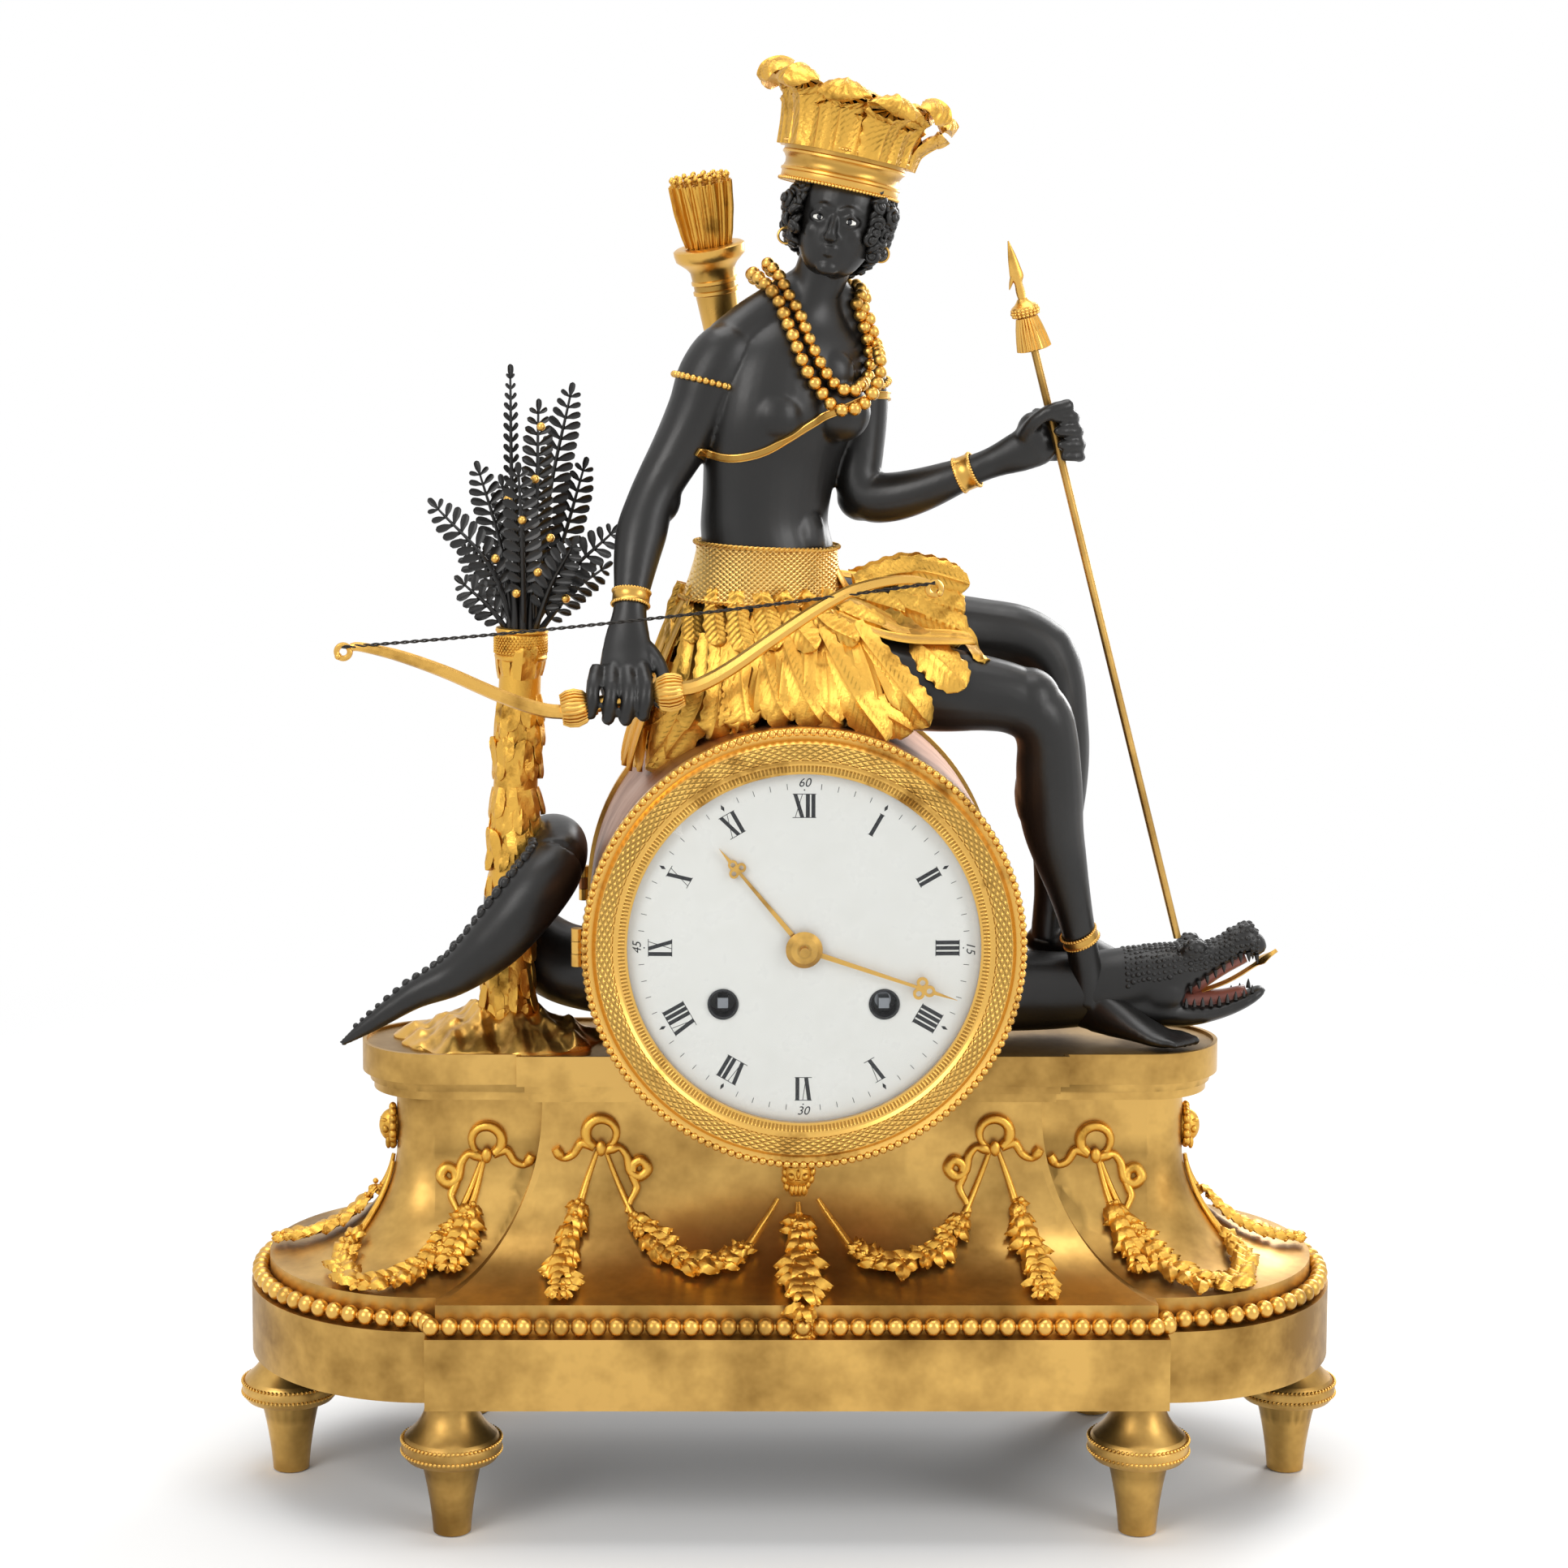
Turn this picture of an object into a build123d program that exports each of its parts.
from build123d import *
from math import acos, atan2, cos, degrees, hypot, pi, radians, sin, sqrt
import os

# Figural mantel clock: a seated patinated figure on a drum clock, on a shaped gilt base.
# Millimetres. X to the right, Y to the back, Z up; the origin lies on the table under the middle.

# Driving dimensions of the base
END_X = 117.5          # centre of each rounded end
END_R = 62.5           # radius of the rounded ends at the plinth
BLOCK_X = 117.5        # half width of the breakfront block
BLOCK_Y = 70.0         # half depth of the breakfront block
FOOT_H = 44.5
SKIRT_H = 23.1
SHEET = 2.4            # wall of the gilt castings
BEAD_R = 3.0
NECK_R = 13.8          # radius of the ends at the waist of the body
NECK_X = 82.0          # half width of the block at its waist
NECK_Y = 19.6          # half depth of the block at its waist
BODY_H = 55.2          # height of the concave body
TOP_R = 25.0           # radius of the platform's ends
TOP_X = 90.0
TOP_Y = 28.0
MOULD_H = 6.0          # moulding under the platform's band
BAND_H = 10.0
RIM = 1.3              # raised lip round the platform
TRAY = 0.9             # depth of the tray inside the lip

# Driving dimensions of the feet
FOOT_RING_R = 16.1
FOOT_RIM_R = 14.6
FOOT_NECK_R = 7.9
FOOT_LEG_R = 10.1
FOOT_TIP_R = 6.05
FRONT_FOOT_X = 110.0
FRONT_FOOT_Y = 55.0
END_FOOT_X = 168.0
STUD_R = 2.0

# Driving dimensions of the drum and the clock in it
DRUM_X = 2.0
DRUM_Z = 190.5
DRUM_R = 69.0
DRUM_WALL = 1.4
DRUM_FRONT = 54.0      # distance of the tube's front edge before the middle
DRUM_BACK = 46.0
BEZEL_R = 69.8
SIGHT_R = 55.6         # visible radius of the dial
DIAL_R = 57.6
DIAL_T = 1.0
DIAL_DOME = 1.1
GLASS_T = 0.9
GLASS_DOME = 9.6
GLASS_SEAT = 4.6       # the glass's edge before the front ring
PLATE_R = 50.0
PLATE_T = 1.6
PLATE_GAP = 36.4       # space between the two plates
WIND_X = 25.4          # winding arbors, sideways of the centre
WIND_DROP = 17.9       # and below it
WIND_HOLE_R = 4.2
HOUR_ANGLE = 320.0     # clockwise from the top
MINUTE_ANGLE = 108.5

# Fits
FIT = 0.05             # radial clearance of a turning shaft
GAP = 0.3              # clearance between pieces that move past each other
SEAT_GAP = 0.1         # clearance between pieces that are set together
OVER = 1.0             # overrun of a cut

# The figure's unit: two fifths of a standing figure's height
FIGURE = 100.0

PLINTH_TOP = FOOT_H + SKIRT_H
BEAD_Z = PLINTH_TOP + SEAT_GAP + BEAD_R + SEAT_GAP
BODY_BOTTOM = PLINTH_TOP
LIP_H = 9.2            # plain fillet at the foot of the concave body
CURVE_BOTTOM = BODY_BOTTOM + LIP_H
CURVE_TOP = CURVE_BOTTOM + BODY_H
BAND_BOTTOM = CURVE_TOP + MOULD_H
TOP_Z = BAND_BOTTOM + BAND_H
FLOOR_Z = TOP_Z - TRAY
LIP_R = END_R - 2 * BEAD_R - SEAT_GAP
LIP_X = BLOCK_X - BEAD_R - SEAT_GAP
LIP_Y = BLOCK_Y - 2 * BEAD_R - SEAT_GAP


def plan(end_r, block_x, block_y):
    """Outline of the base: two rounded ends joined, with a breakfront block before and behind."""
    ends = Pos(END_X, 0) * Circle(end_r) + Pos(-END_X, 0) * Circle(end_r)
    return ends + Rectangle(2 * END_X, 2 * end_r) + Rectangle(2 * block_x, 2 * block_y)


def slab(outline, bottom, height):
    return extrude(Pos(0, 0, bottom) * outline, amount=height)


def wall_face(wide, narrow, straight_share, top, bottom):
    """Half section of the body: a plain fall from the waist, then an elliptical flare to the lip."""
    flare = BODY_H * (1 - straight_share)
    centre_z = CURVE_BOTTOM + flare
    curve = EllipticalCenterArc((wide, centre_z), wide - narrow, flare, 180, arc_size=90)
    corners = [(wide, CURVE_BOTTOM), (wide, bottom), (0, bottom), (0, top), (narrow, top)]
    if top != centre_z:
        corners.append((narrow, centre_z))
    return make_face(curve + Polyline(*corners))


END_STRAIGHT_SHARE = 0.36   # plain part of the end and front walls
SIDE_STRAIGHT_SHARE = 0.04


def body_solid(inset, top, bottom):
    """The concave body, its wall drawn in by inset."""
    end_face = wall_face(LIP_R - inset, NECK_R - inset, END_STRAIGHT_SHARE, top, bottom)
    front_face = wall_face(LIP_Y - inset, NECK_Y - inset, END_STRAIGHT_SHARE, top, bottom)
    side_face = wall_face(LIP_X - inset, NECK_X - inset, SIDE_STRAIGHT_SHARE, top, bottom)
    upright = Plane.XZ * end_face
    ends = Pos(END_X, 0) * revolve(upright, Axis.Z) + Pos(-END_X, 0) * revolve(upright, Axis.Z)
    across = Plane.YZ * end_face
    span = extrude(across, amount=END_X, both=True)
    span += mirror(span, Plane.XZ)
    front_half = extrude(Plane.YZ * front_face, amount=2 * END_X, both=True)
    deep = front_half + mirror(front_half, Plane.XZ)
    side_half = extrude(Plane.XZ * side_face, amount=2 * END_R, both=True)
    broad = side_half + mirror(side_half, Plane.YZ)
    return ends + span + (deep & broad)


def drum_room(gap):
    """The room that the drum needs in what it rests on."""
    return Pos(DRUM_X, 0, DRUM_Z) * Rot(X=90) * Cylinder(DRUM_R + gap, 4 * END_R)


def base_skirt():
    outer = slab(plan(END_R, BLOCK_X, BLOCK_Y), FOOT_H, SKIRT_H)
    inner = plan(END_R - SHEET, BLOCK_X - SHEET, BLOCK_Y - SHEET)
    ledge = plan(LIP_R - 2 * SHEET, LIP_X - 2 * SHEET, LIP_Y - 2 * SHEET)
    wall = outer - slab(inner, FOOT_H, SKIRT_H - SHEET)
    return wall - slab(ledge, FOOT_H, SKIRT_H)


def foot_places():
    """The six feet by pairs: front, ends and back."""
    front = [(-FRONT_FOOT_X, -FRONT_FOOT_Y), (FRONT_FOOT_X, -FRONT_FOOT_Y)]
    ends = [(-END_FOOT_X, 0), (END_FOOT_X, 0)]
    back = [(-FRONT_FOOT_X, FRONT_FOOT_Y), (FRONT_FOOT_X, FRONT_FOOT_Y)]
    return {"front_feet": front, "end_feet": ends, "rear_feet": back}


ROD_X = 0.8 * END_X
NUT_R = 2.2 * STUD_R
NUT_H = 1.6 * STUD_R
STUD_DEPTH = 12.0


def bolt_places():
    feet = [place for pair in foot_places().values() for place in pair]
    return feet, [(-ROD_X, 0), (ROD_X, 0)]


def base_plate():
    edge = SHEET + SEAT_GAP
    plate = slab(plan(END_R - edge, BLOCK_X - edge, BLOCK_Y - edge), FOOT_H, SHEET)
    feet, rods = bolt_places()
    for x, y in feet + rods:
        plate -= Pos(x, y, FOOT_H) * Cylinder(STUD_R + FIT, 3 * SHEET)
    return plate


def base_bolts():
    """Foot studs with nuts, and two rods that draw the platform down on the base."""
    feet, rods = bolt_places()
    group = Part()
    nut = RegularPolygon(NUT_R, 6)
    for x, y in feet:
        stud = slab(Pos(x, y) * Circle(STUD_R), FOOT_H - STUD_DEPTH, STUD_DEPTH + SHEET + SEAT_GAP + 2 * NUT_H)
        group += stud + slab(Pos(x, y) * nut, FOOT_H + SHEET, NUT_H)
    rod_bottom = FOOT_H - NUT_H
    for x, y in rods:
        rod = slab(Pos(x, y) * Circle(STUD_R), rod_bottom, CURVE_TOP + MOULD_H - rod_bottom)
        group += rod + slab(Pos(x, y) * nut, rod_bottom, NUT_H)
    return group


def foot_profile():
    """Turned profile of a foot, as points of radius and height."""
    ring_z = 0.65 * FOOT_H
    rim_z = 0.72 * FOOT_H
    under_z = 0.55 * FOOT_H
    bulge = FOOT_RING_R - FOOT_RIM_R
    flare = Spline((FOOT_NECK_R, FOOT_H), (FOOT_NECK_R + bulge, 0.86 * FOOT_H), (FOOT_RIM_R, rim_z))
    ring = ThreePointArc((FOOT_RIM_R, rim_z), (FOOT_RING_R, ring_z), (FOOT_RIM_R, under_z))
    shoulder = Line((FOOT_RIM_R, under_z), (FOOT_LEG_R, under_z))
    leg = Spline((FOOT_LEG_R, under_z), (0.76 * FOOT_LEG_R, 0.3 * FOOT_H), (FOOT_TIP_R, 0))
    core = Polyline((FOOT_TIP_R, 0), (0, 0), (0, FOOT_H), (FOOT_NECK_R, FOOT_H))
    return make_face(flare + ring + shoulder + leg + core)


def foot_pair(places):
    turned = revolve(Plane.XZ * foot_profile(), Axis.Z)
    turned -= slab(Circle(STUD_R + FIT), FOOT_H - STUD_DEPTH - SEAT_GAP, STUD_DEPTH + OVER)
    return Part() + [Pos(x, y) * turned for x, y in places]


def bead_border():
    """The beaded border on the plinth's ledge, as the string's half-round outer form."""
    def band(radius_in, height):
        return slab(plan(END_R - radius_in, BLOCK_X - radius_in, BLOCK_Y - radius_in), BEAD_Z - height, 2 * height)

    inner_r = 2 * BEAD_R
    step = 0.3 * BEAD_R
    ring = band(step, 0.7 * BEAD_R) + band(0, 0.3 * BEAD_R)
    ring += band(2.4 * step, BEAD_R)
    return ring - slab(plan(END_R - inner_r, BLOCK_X - inner_r / 2, BLOCK_Y - inner_r), PLINTH_TOP, 3 * BEAD_R)


def base_body():
    outer = body_solid(0, CURVE_TOP, BODY_BOTTOM)
    inner = body_solid(SHEET, CURVE_TOP - SHEET, BODY_BOTTOM - OVER)
    shell = outer - inner - drum_room(SEAT_GAP)
    for side in (-ROD_X, ROD_X):
        shell -= Pos(side, 0, CURVE_TOP) * Cylinder(STUD_R + FIT, 4 * SHEET)
    return shell


def platform():
    """Moulding, band and lipped tray, with the saddle that the drum sits in."""
    inset = 0.1 * TOP_R
    lower = slab(plan(TOP_R - 1.5 * inset, TOP_X - 1.5 * inset, TOP_Y - 1.5 * inset), CURVE_TOP, MOULD_H / 2)
    roll = slab(plan(TOP_R - inset, TOP_X - inset, TOP_Y - inset), CURVE_TOP + MOULD_H / 2, MOULD_H / 2)
    band = slab(plan(TOP_R, TOP_X, TOP_Y), BAND_BOTTOM, BAND_H)
    tray = slab(plan(TOP_R - RIM, TOP_X - RIM, TOP_Y - RIM), FLOOR_Z, TRAY + OVER)
    body = lower + roll + band - tray - drum_room(SEAT_GAP)
    for side in (-ROD_X, ROD_X):
        body -= slab(Pos(side, 0) * Circle(STUD_R + FIT), CURVE_TOP - OVER, OVER + MOULD_H + SEAT_GAP)
    return body


def wall_reach(height):
    """How far the wall is drawn in at a height, as a share of its whole flare."""
    flare = BODY_H * (1 - END_STRAIGHT_SHARE)
    drop = min(1, max(0, (CURVE_BOTTOM + flare - height) / flare))
    return sqrt(1 - drop ** 2)


def wall_y(height):
    """Half depth of the block's concave front at a height."""
    return LIP_Y - (LIP_Y - NECK_Y) * wall_reach(height)


def wall_r(height):
    """Radius of the body's concave ends at a height."""
    return LIP_R - (LIP_R - NECK_R) * wall_reach(height)


def tube(rows, flat=Vector(0, 1, 0)):
    """A limb or stem: ellipses set across a path and lofted. Rows hold point, width and depth radii."""
    sections = []
    for index, (point, wide, deep) in enumerate(rows):
        before = rows[max(index - 1, 0)][0]
        after = rows[min(index + 1, len(rows) - 1)][0]
        along = (Vector(after) - Vector(before)).normalized()
        side = along.cross(flat)
        sections.append(Plane(origin=Vector(point), x_dir=side, z_dir=along) * Ellipse(wide, deep))
    return loft(sections, ruled=True)


def egg(centre, along, radius, length):
    """A solid egg: an ellipse turned about its long axis."""
    flat = Plane.XY * make_face(EllipticalCenterArc((0, 0), radius, length, -90, arc_size=180)
                                + Line((0, length), (0, -length)))
    turned_egg = Rot(90, 0, 0) * revolve(flat, Axis.Y)
    return Plane(origin=Vector(centre), z_dir=Vector(along)) * turned_egg


def rod(start, end, radius):
    along = Vector(end) - Vector(start)
    return extrude(Plane(origin=Vector(start), z_dir=along.normalized()) * Circle(radius), amount=along.length)


# Garlands: places on the wall as shares of the body's size
SWAG_R = 3.4
DROP_R = 4.6
CORD_R = 1.0
KNOT_R = 5.0
KNOT_SHARE = 0.80      # height of the knots up the concave body
SWAG_SHARE = 0.12
DROP_SHARE = 0.14
MASK_SHARE = 0.56


def wall_height(share):
    return CURVE_BOTTOM + share * BODY_H


def slant(profile, height):
    """How much farther sideways a lift square to the wall reaches, for the wall's slope at a height."""
    run = profile(height - OVER) - profile(height + OVER)
    return sqrt(1 + (run / (2 * OVER)) ** 2)


def front_point(x, height, lift):
    return Vector(x, -wall_y(height) - lift * slant(wall_y, height), height)


STRAIGHT_STEP = 0.5     # way along the straight wall for each degree of turn above ninety


def end_point(side, turn, height, lift):
    """A point on a rounded end; turn is measured from straight outward towards the front."""
    reach = wall_r(height) + lift * slant(wall_r, height)
    if turn > 90:
        return Vector(side * (END_X - (turn - 90) * STRAIGHT_STEP), -reach, height)
    return Vector(side * (END_X + reach * cos(radians(turn))), -reach * sin(radians(turn)), height)


def hanging(place, from_x, to_x, top, bottom, thick, rise_share):
    """A swag or drop: a tapered garland that follows the wall between two places."""
    rows = []
    count = 6
    for step in range(count + 1):
        run = step / count
        sag = 1 - (2 * run - 1) ** 2
        height = top - (top - bottom) * (sag if rise_share else run)
        radius = CORD_R + (thick - CORD_R) * (sag if rise_share else run * (1.8 - run))
        rows.append((place(from_x + (to_x - from_x) * run, height, radius + SEAT_GAP), radius, radius))
    return tube(rows, Vector(0.1, 1, 0.2))


def garland(place, knot, far, drop_to):
    """A knot ring, one swag from it to a far place, and one drop."""
    top = wall_height(KNOT_SHARE)
    low = wall_height(SWAG_SHARE)
    middle = place(knot, top, CORD_R)
    ring = Plane(origin=middle, z_dir=place(knot, top, 2 * CORD_R) - middle) * Torus(KNOT_R, CORD_R)
    swag = hanging(place, knot, far, top - KNOT_R, low, SWAG_R, True)
    drop = hanging(place, knot, drop_to, top - KNOT_R, wall_height(DROP_SHARE), DROP_R, False)
    return ring + swag + drop


GARLAND_X = 63.2       # the front knots, sideways of the drum's middle
DROP_SPREAD = 13.0


def front_garlands():
    """Two swags from the knots to the middle mask, a drop beside each and one under the mask."""
    group = Part()
    for side in (-1, 1):
        knot = DRUM_X + side * GARLAND_X
        group += garland(front_point, knot, DRUM_X + side * CORD_R, knot + side * DROP_SPREAD)
    mask_z = wall_height(MASK_SHARE)
    mask = egg(front_point(DRUM_X, mask_z, DROP_R), (0, 0, 1), DROP_R, 1.4 * DROP_R)
    tail = hanging(front_point, DRUM_X, DRUM_X, mask_z - DROP_R, wall_height(SWAG_SHARE), DROP_R, False)
    return group + mask + tail


END_KNOT_TURN = 124.0
END_DROP_TURN = 98.0


def end_garlands():
    """On each rounded end a mask looking outward with a drop, and a knot with swag and drop before it."""
    group = Part()
    for side in (-1, 1):
        def place(turn, height, lift, side=side):
            return end_point(side, turn, height, lift)

        group += garland(place, END_KNOT_TURN, 0, END_DROP_TURN)
        mask_z = wall_height(KNOT_SHARE)
        mask = egg(place(0, mask_z, DROP_R), (0, 0, 1), DROP_R, 1.5 * DROP_R)
        tail = hanging(place, 0, 0, mask_z - DROP_R, wall_height(DROP_SHARE / 2), DROP_R, False)
        group += mask + tail
    return group


# The drum: sketches are drawn as seen from the front, and lie at a depth behind the middle

def face_plane(depth):
    return Plane(origin=(DRUM_X, depth, DRUM_Z), x_dir=(1, 0, 0), z_dir=(0, -1, 0))


def sheet_at(sketch, back, thick):
    """A flat piece whose back lies at a depth, and whose thickness comes forward."""
    return extrude(face_plane(back) * sketch, amount=thick)


def turned(points):
    """A piece turned about the drum's axis, from points of radius and depth."""
    outline = [Vector(DRUM_X + radius, depth, DRUM_Z) for radius, depth in points]
    axis = Axis((DRUM_X, 0, DRUM_Z), (0, 1, 0))
    return revolve(make_face(Polyline(*outline, close=True)), axis)


RING_BACK = -DRUM_FRONT
RING_T = 3.2
RING_FRONT = RING_BACK - RING_T
RING_STEP = 2.5
LEAF_LAP = 1.5
HINGE_R = 0.9
HINGE_OUT = 1.6
REAR_OUT = 2.0
HINGE_X = BEZEL_R + HINGE_OUT
REAR_HINGE_X = BEZEL_R + REAR_OUT
KNUCKLE_R = 1.8
KNUCKLE_L = 4.0
PLATE_FRONT = -50.0    # depth of the front plate's face, behind the dial
PLATE_BACK = PLATE_FRONT + PLATE_T
REAR_FRONT = PLATE_BACK + PLATE_GAP
REAR_BACK = REAR_FRONT + PLATE_T
BACK_RING_T = 4.0
STRAP_W = 6.0
STRAP_T = 1.6


def drum_case():
    wall = Circle(DRUM_R) - Circle(DRUM_R - DRUM_WALL)
    return sheet_at(wall, DRUM_BACK, DRUM_BACK + DRUM_FRONT)


def knuckle(side_x, depth, low, high, radius, bore):
    place = Pos(DRUM_X + side_x, depth, DRUM_Z + low)
    shape = place * extrude(Circle(radius), amount=high - low)
    if bore:
        shape -= place * extrude(Circle(bore), amount=high - low)
    return shape


def hinge_pair(side_x, depth):
    """The fixed half of a hinge: two knuckles and the pin through them."""
    fixed = knuckle(side_x, depth, 0.5 * KNUCKLE_L + SEAT_GAP, 1.5 * KNUCKLE_L, KNUCKLE_R, 0)
    fixed += knuckle(side_x, depth, -1.5 * KNUCKLE_L, -0.5 * KNUCKLE_L - SEAT_GAP, KNUCKLE_R, 0)
    return fixed + knuckle(side_x, depth, -1.5 * KNUCKLE_L, 1.5 * KNUCKLE_L, HINGE_R, 0)


def hinge_room(side_x, depth, low, high):
    """Room round a knuckle, so that the ring beside it swings clear."""
    return knuckle(side_x, depth, low - SEAT_GAP, high + SEAT_GAP, KNUCKLE_R + GAP, 0)


FIXED_KNUCKLES = ((0.5 * KNUCKLE_L + SEAT_GAP, 1.5 * KNUCKLE_L), (-1.5 * KNUCKLE_L, -0.5 * KNUCKLE_L - SEAT_GAP))
MOVING_KNUCKLE = (-0.5 * KNUCKLE_L + SEAT_GAP, 0.5 * KNUCKLE_L - SEAT_GAP)


def hinge_leaf(side_x, depth, low, high, thick, inner_x, forward):
    """The leaf that joins a knuckle to its ring."""
    reach = abs(side_x) - (HINGE_R + KNUCKLE_R) / 2
    width = reach - inner_x
    leaf = Box(width, thick, high - low, align=(Align.MIN, Align.MAX if forward else Align.MIN, Align.MIN))
    start = DRUM_X - reach
    return Pos(start, depth, DRUM_Z + low) * leaf


def front_ring():
    """The fixed ring behind the dial: a flange, a spigot down to the movement, and the hinge."""
    spigot_r = PLATE_R - RING_STEP
    seat_r = PLATE_R + 0.8 * RING_STEP
    edge_r = DRUM_R + 0.2 * RING_STEP
    outline = [(spigot_r, PLATE_FRONT), (seat_r, PLATE_FRONT), (seat_r, RING_BACK),
               (edge_r, RING_BACK), (edge_r, RING_FRONT), (spigot_r, RING_FRONT)]
    ring = turned(outline)
    depth = RING_FRONT - SEAT_GAP
    ring -= hinge_room(-HINGE_X, depth, *MOVING_KNUCKLE)
    ring += hinge_pair(-HINGE_X, depth)
    for low, high in FIXED_KNUCKLES:
        ring += hinge_leaf(HINGE_X, RING_FRONT, low, high, KNUCKLE_R / 2, DRUM_R - LEAF_LAP, False)
    return ring


DOOR_GAP = 0.2
BEZEL_T = 5.4
BEZEL_BEAD = 1.6
DIAL_ROOM = 0.6
BEZEL_BACK = RING_FRONT - DOOR_GAP
BEZEL_FACE = BEZEL_BACK - BEZEL_T


def bezel():
    """Hinged door ring: rebate over the dial, engraved slopes and the outer string of beads."""
    dial_room = RING_FRONT - DIAL_T - DIAL_DOME - DOOR_GAP
    bead = BEZEL_BEAD
    outline = [(SIGHT_R, dial_room), (SIGHT_R, dial_room - bead), (SIGHT_R + 0.41 * BEZEL_T, BEZEL_FACE + bead),
               (SIGHT_R + 0.63 * BEZEL_T, BEZEL_FACE + 0.75 * bead),
               (SIGHT_R + 0.96 * BEZEL_T, BEZEL_FACE), (BEZEL_R - 2.75 * bead, BEZEL_FACE),
               (BEZEL_R - 2 * bead, BEZEL_FACE + bead), (BEZEL_R - bead, BEZEL_FACE + 0.6 * bead),
               (BEZEL_R, BEZEL_FACE + 2 * bead), (BEZEL_R, BEZEL_BACK),
               (DIAL_R + DIAL_ROOM, BEZEL_BACK), (DIAL_R + DIAL_ROOM, dial_room)]
    ring = turned(outline)
    depth = RING_FRONT - SEAT_GAP
    for low, high in FIXED_KNUCKLES:
        ring -= hinge_room(-HINGE_X, depth, low, high)
    hub = knuckle(-HINGE_X, depth, *MOVING_KNUCKLE, KNUCKLE_R, HINGE_R + FIT)
    leaf = hinge_leaf(HINGE_X, BEZEL_BACK, *MOVING_KNUCKLE, KNUCKLE_R / 2, BEZEL_R - LEAF_LAP, True)
    leaf -= knuckle(-HINGE_X, depth, -KNUCKLE_L, KNUCKLE_L, HINGE_R + FIT, 0)
    return ring + hub + leaf


def dome(radius, rise, edge, thick):
    """A shallow domed disc, bulging forward, as a section turned about the drum's axis."""
    sphere_r = (radius ** 2 + rise ** 2) / (2 * rise)
    middle = sqrt(sphere_r ** 2 - radius ** 2 / 4) - (sphere_r - rise)
    outer = ThreePointArc((radius, 0), (radius / 2, -middle), (0, -rise))
    inner = outer.moved(Location((0, thick, 0)))
    start = outer @ 0
    end = outer @ 1
    sides = Line(start, start + Vector(0, thick, 0)) + Line(end, end + Vector(0, thick, 0))
    face = Plane(origin=(DRUM_X, edge, DRUM_Z), x_dir=(1, 0, 0), z_dir=(0, 0, 1)) * make_face(outer + inner + sides)
    return revolve(face, Axis((DRUM_X, 0, DRUM_Z), (0, 1, 0)))


def bezel_glass():
    return dome(SIGHT_R - SEAT_GAP, GLASS_DOME, RING_FRONT - GLASS_SEAT, GLASS_T)


HOUR_PIPE_R = 2.6
DIAL_HOLE_R = 3.4


def dial():
    plate = dome(DIAL_R, DIAL_DOME, RING_FRONT - DIAL_T, DIAL_T)
    holes = Circle(DIAL_HOLE_R) + Pos(WIND_X, -WIND_DROP) * Circle(WIND_HOLE_R)
    holes += Pos(-WIND_X, -WIND_DROP) * Circle(WIND_HOLE_R)
    return plate - sheet_at(holes, PLATE_FRONT, 4 * DIAL_R)


BACK_RING_W = 9.0
BACK_LIP = 1.4


def back_ring():
    back = DRUM_BACK + BACK_RING_T
    inner_r = DRUM_R - BACK_RING_W
    outer_r = DRUM_R + BACK_LIP
    outline = [(inner_r, DRUM_BACK), (outer_r, DRUM_BACK), (outer_r, back), (inner_r, back)]
    ring = turned(outline)
    depth = back + SEAT_GAP
    ring -= hinge_room(-REAR_HINGE_X, depth, *MOVING_KNUCKLE)
    ring += hinge_pair(-REAR_HINGE_X, depth)
    for low, high in FIXED_KNUCKLES:
        ring += hinge_leaf(REAR_HINGE_X, back, low, high, KNUCKLE_R / 2, DRUM_R - LEAF_LAP, True)
    return ring


KNOB_R = 2.6
KNOB_L = 9.0
DOOR_T = 1.4
DOOR_ROLL = 2.4
DOOR_RIM = 6.0


def back_door():
    """Turned door that closes the drum behind, with a knob."""
    front = DRUM_BACK + BACK_RING_T + DOOR_GAP
    outline = [(0, front), (DRUM_R, front), (DRUM_R, front + DOOR_T), (DRUM_R - DOOR_RIM, front + DOOR_ROLL),
               (DRUM_R - 2 * DOOR_RIM, front + DOOR_ROLL), (DRUM_R - 2.33 * DOOR_RIM, front + DOOR_T), (0, front + DOOR_T)]
    door = turned(outline)
    depth = DRUM_BACK + BACK_RING_T + SEAT_GAP
    for low, high in FIXED_KNUCKLES:
        door -= hinge_room(-REAR_HINGE_X, depth, low, high)
    hub = knuckle(-REAR_HINGE_X, depth, *MOVING_KNUCKLE, KNUCKLE_R, HINGE_R + FIT)
    leaf = hinge_leaf(REAR_HINGE_X, front, *MOVING_KNUCKLE, KNUCKLE_R / 2, DRUM_R - LEAF_LAP, False)
    knob_x = DRUM_X + DRUM_R - 1.5 * DOOR_RIM
    knob = rod((knob_x, front, DRUM_Z), (knob_x, front + KNOB_L, DRUM_Z), KNOB_R)
    return door + hub + leaf + knob


def drum_straps():
    """Two straps inside the drum that draw the back ring towards the front ring."""
    reach = DRUM_R - DRUM_WALL - STRAP_T - SEAT_GAP
    group = Part()
    for side in (-1, 1):
        bar = Pos(0, side * (reach - STRAP_T / 2)) * Rectangle(STRAP_W, STRAP_T)
        group += sheet_at(bar, DRUM_BACK, DRUM_BACK - RING_BACK)
    return group


# The movement: wheels by their teeth and module, arbors by their places from the centre

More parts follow.
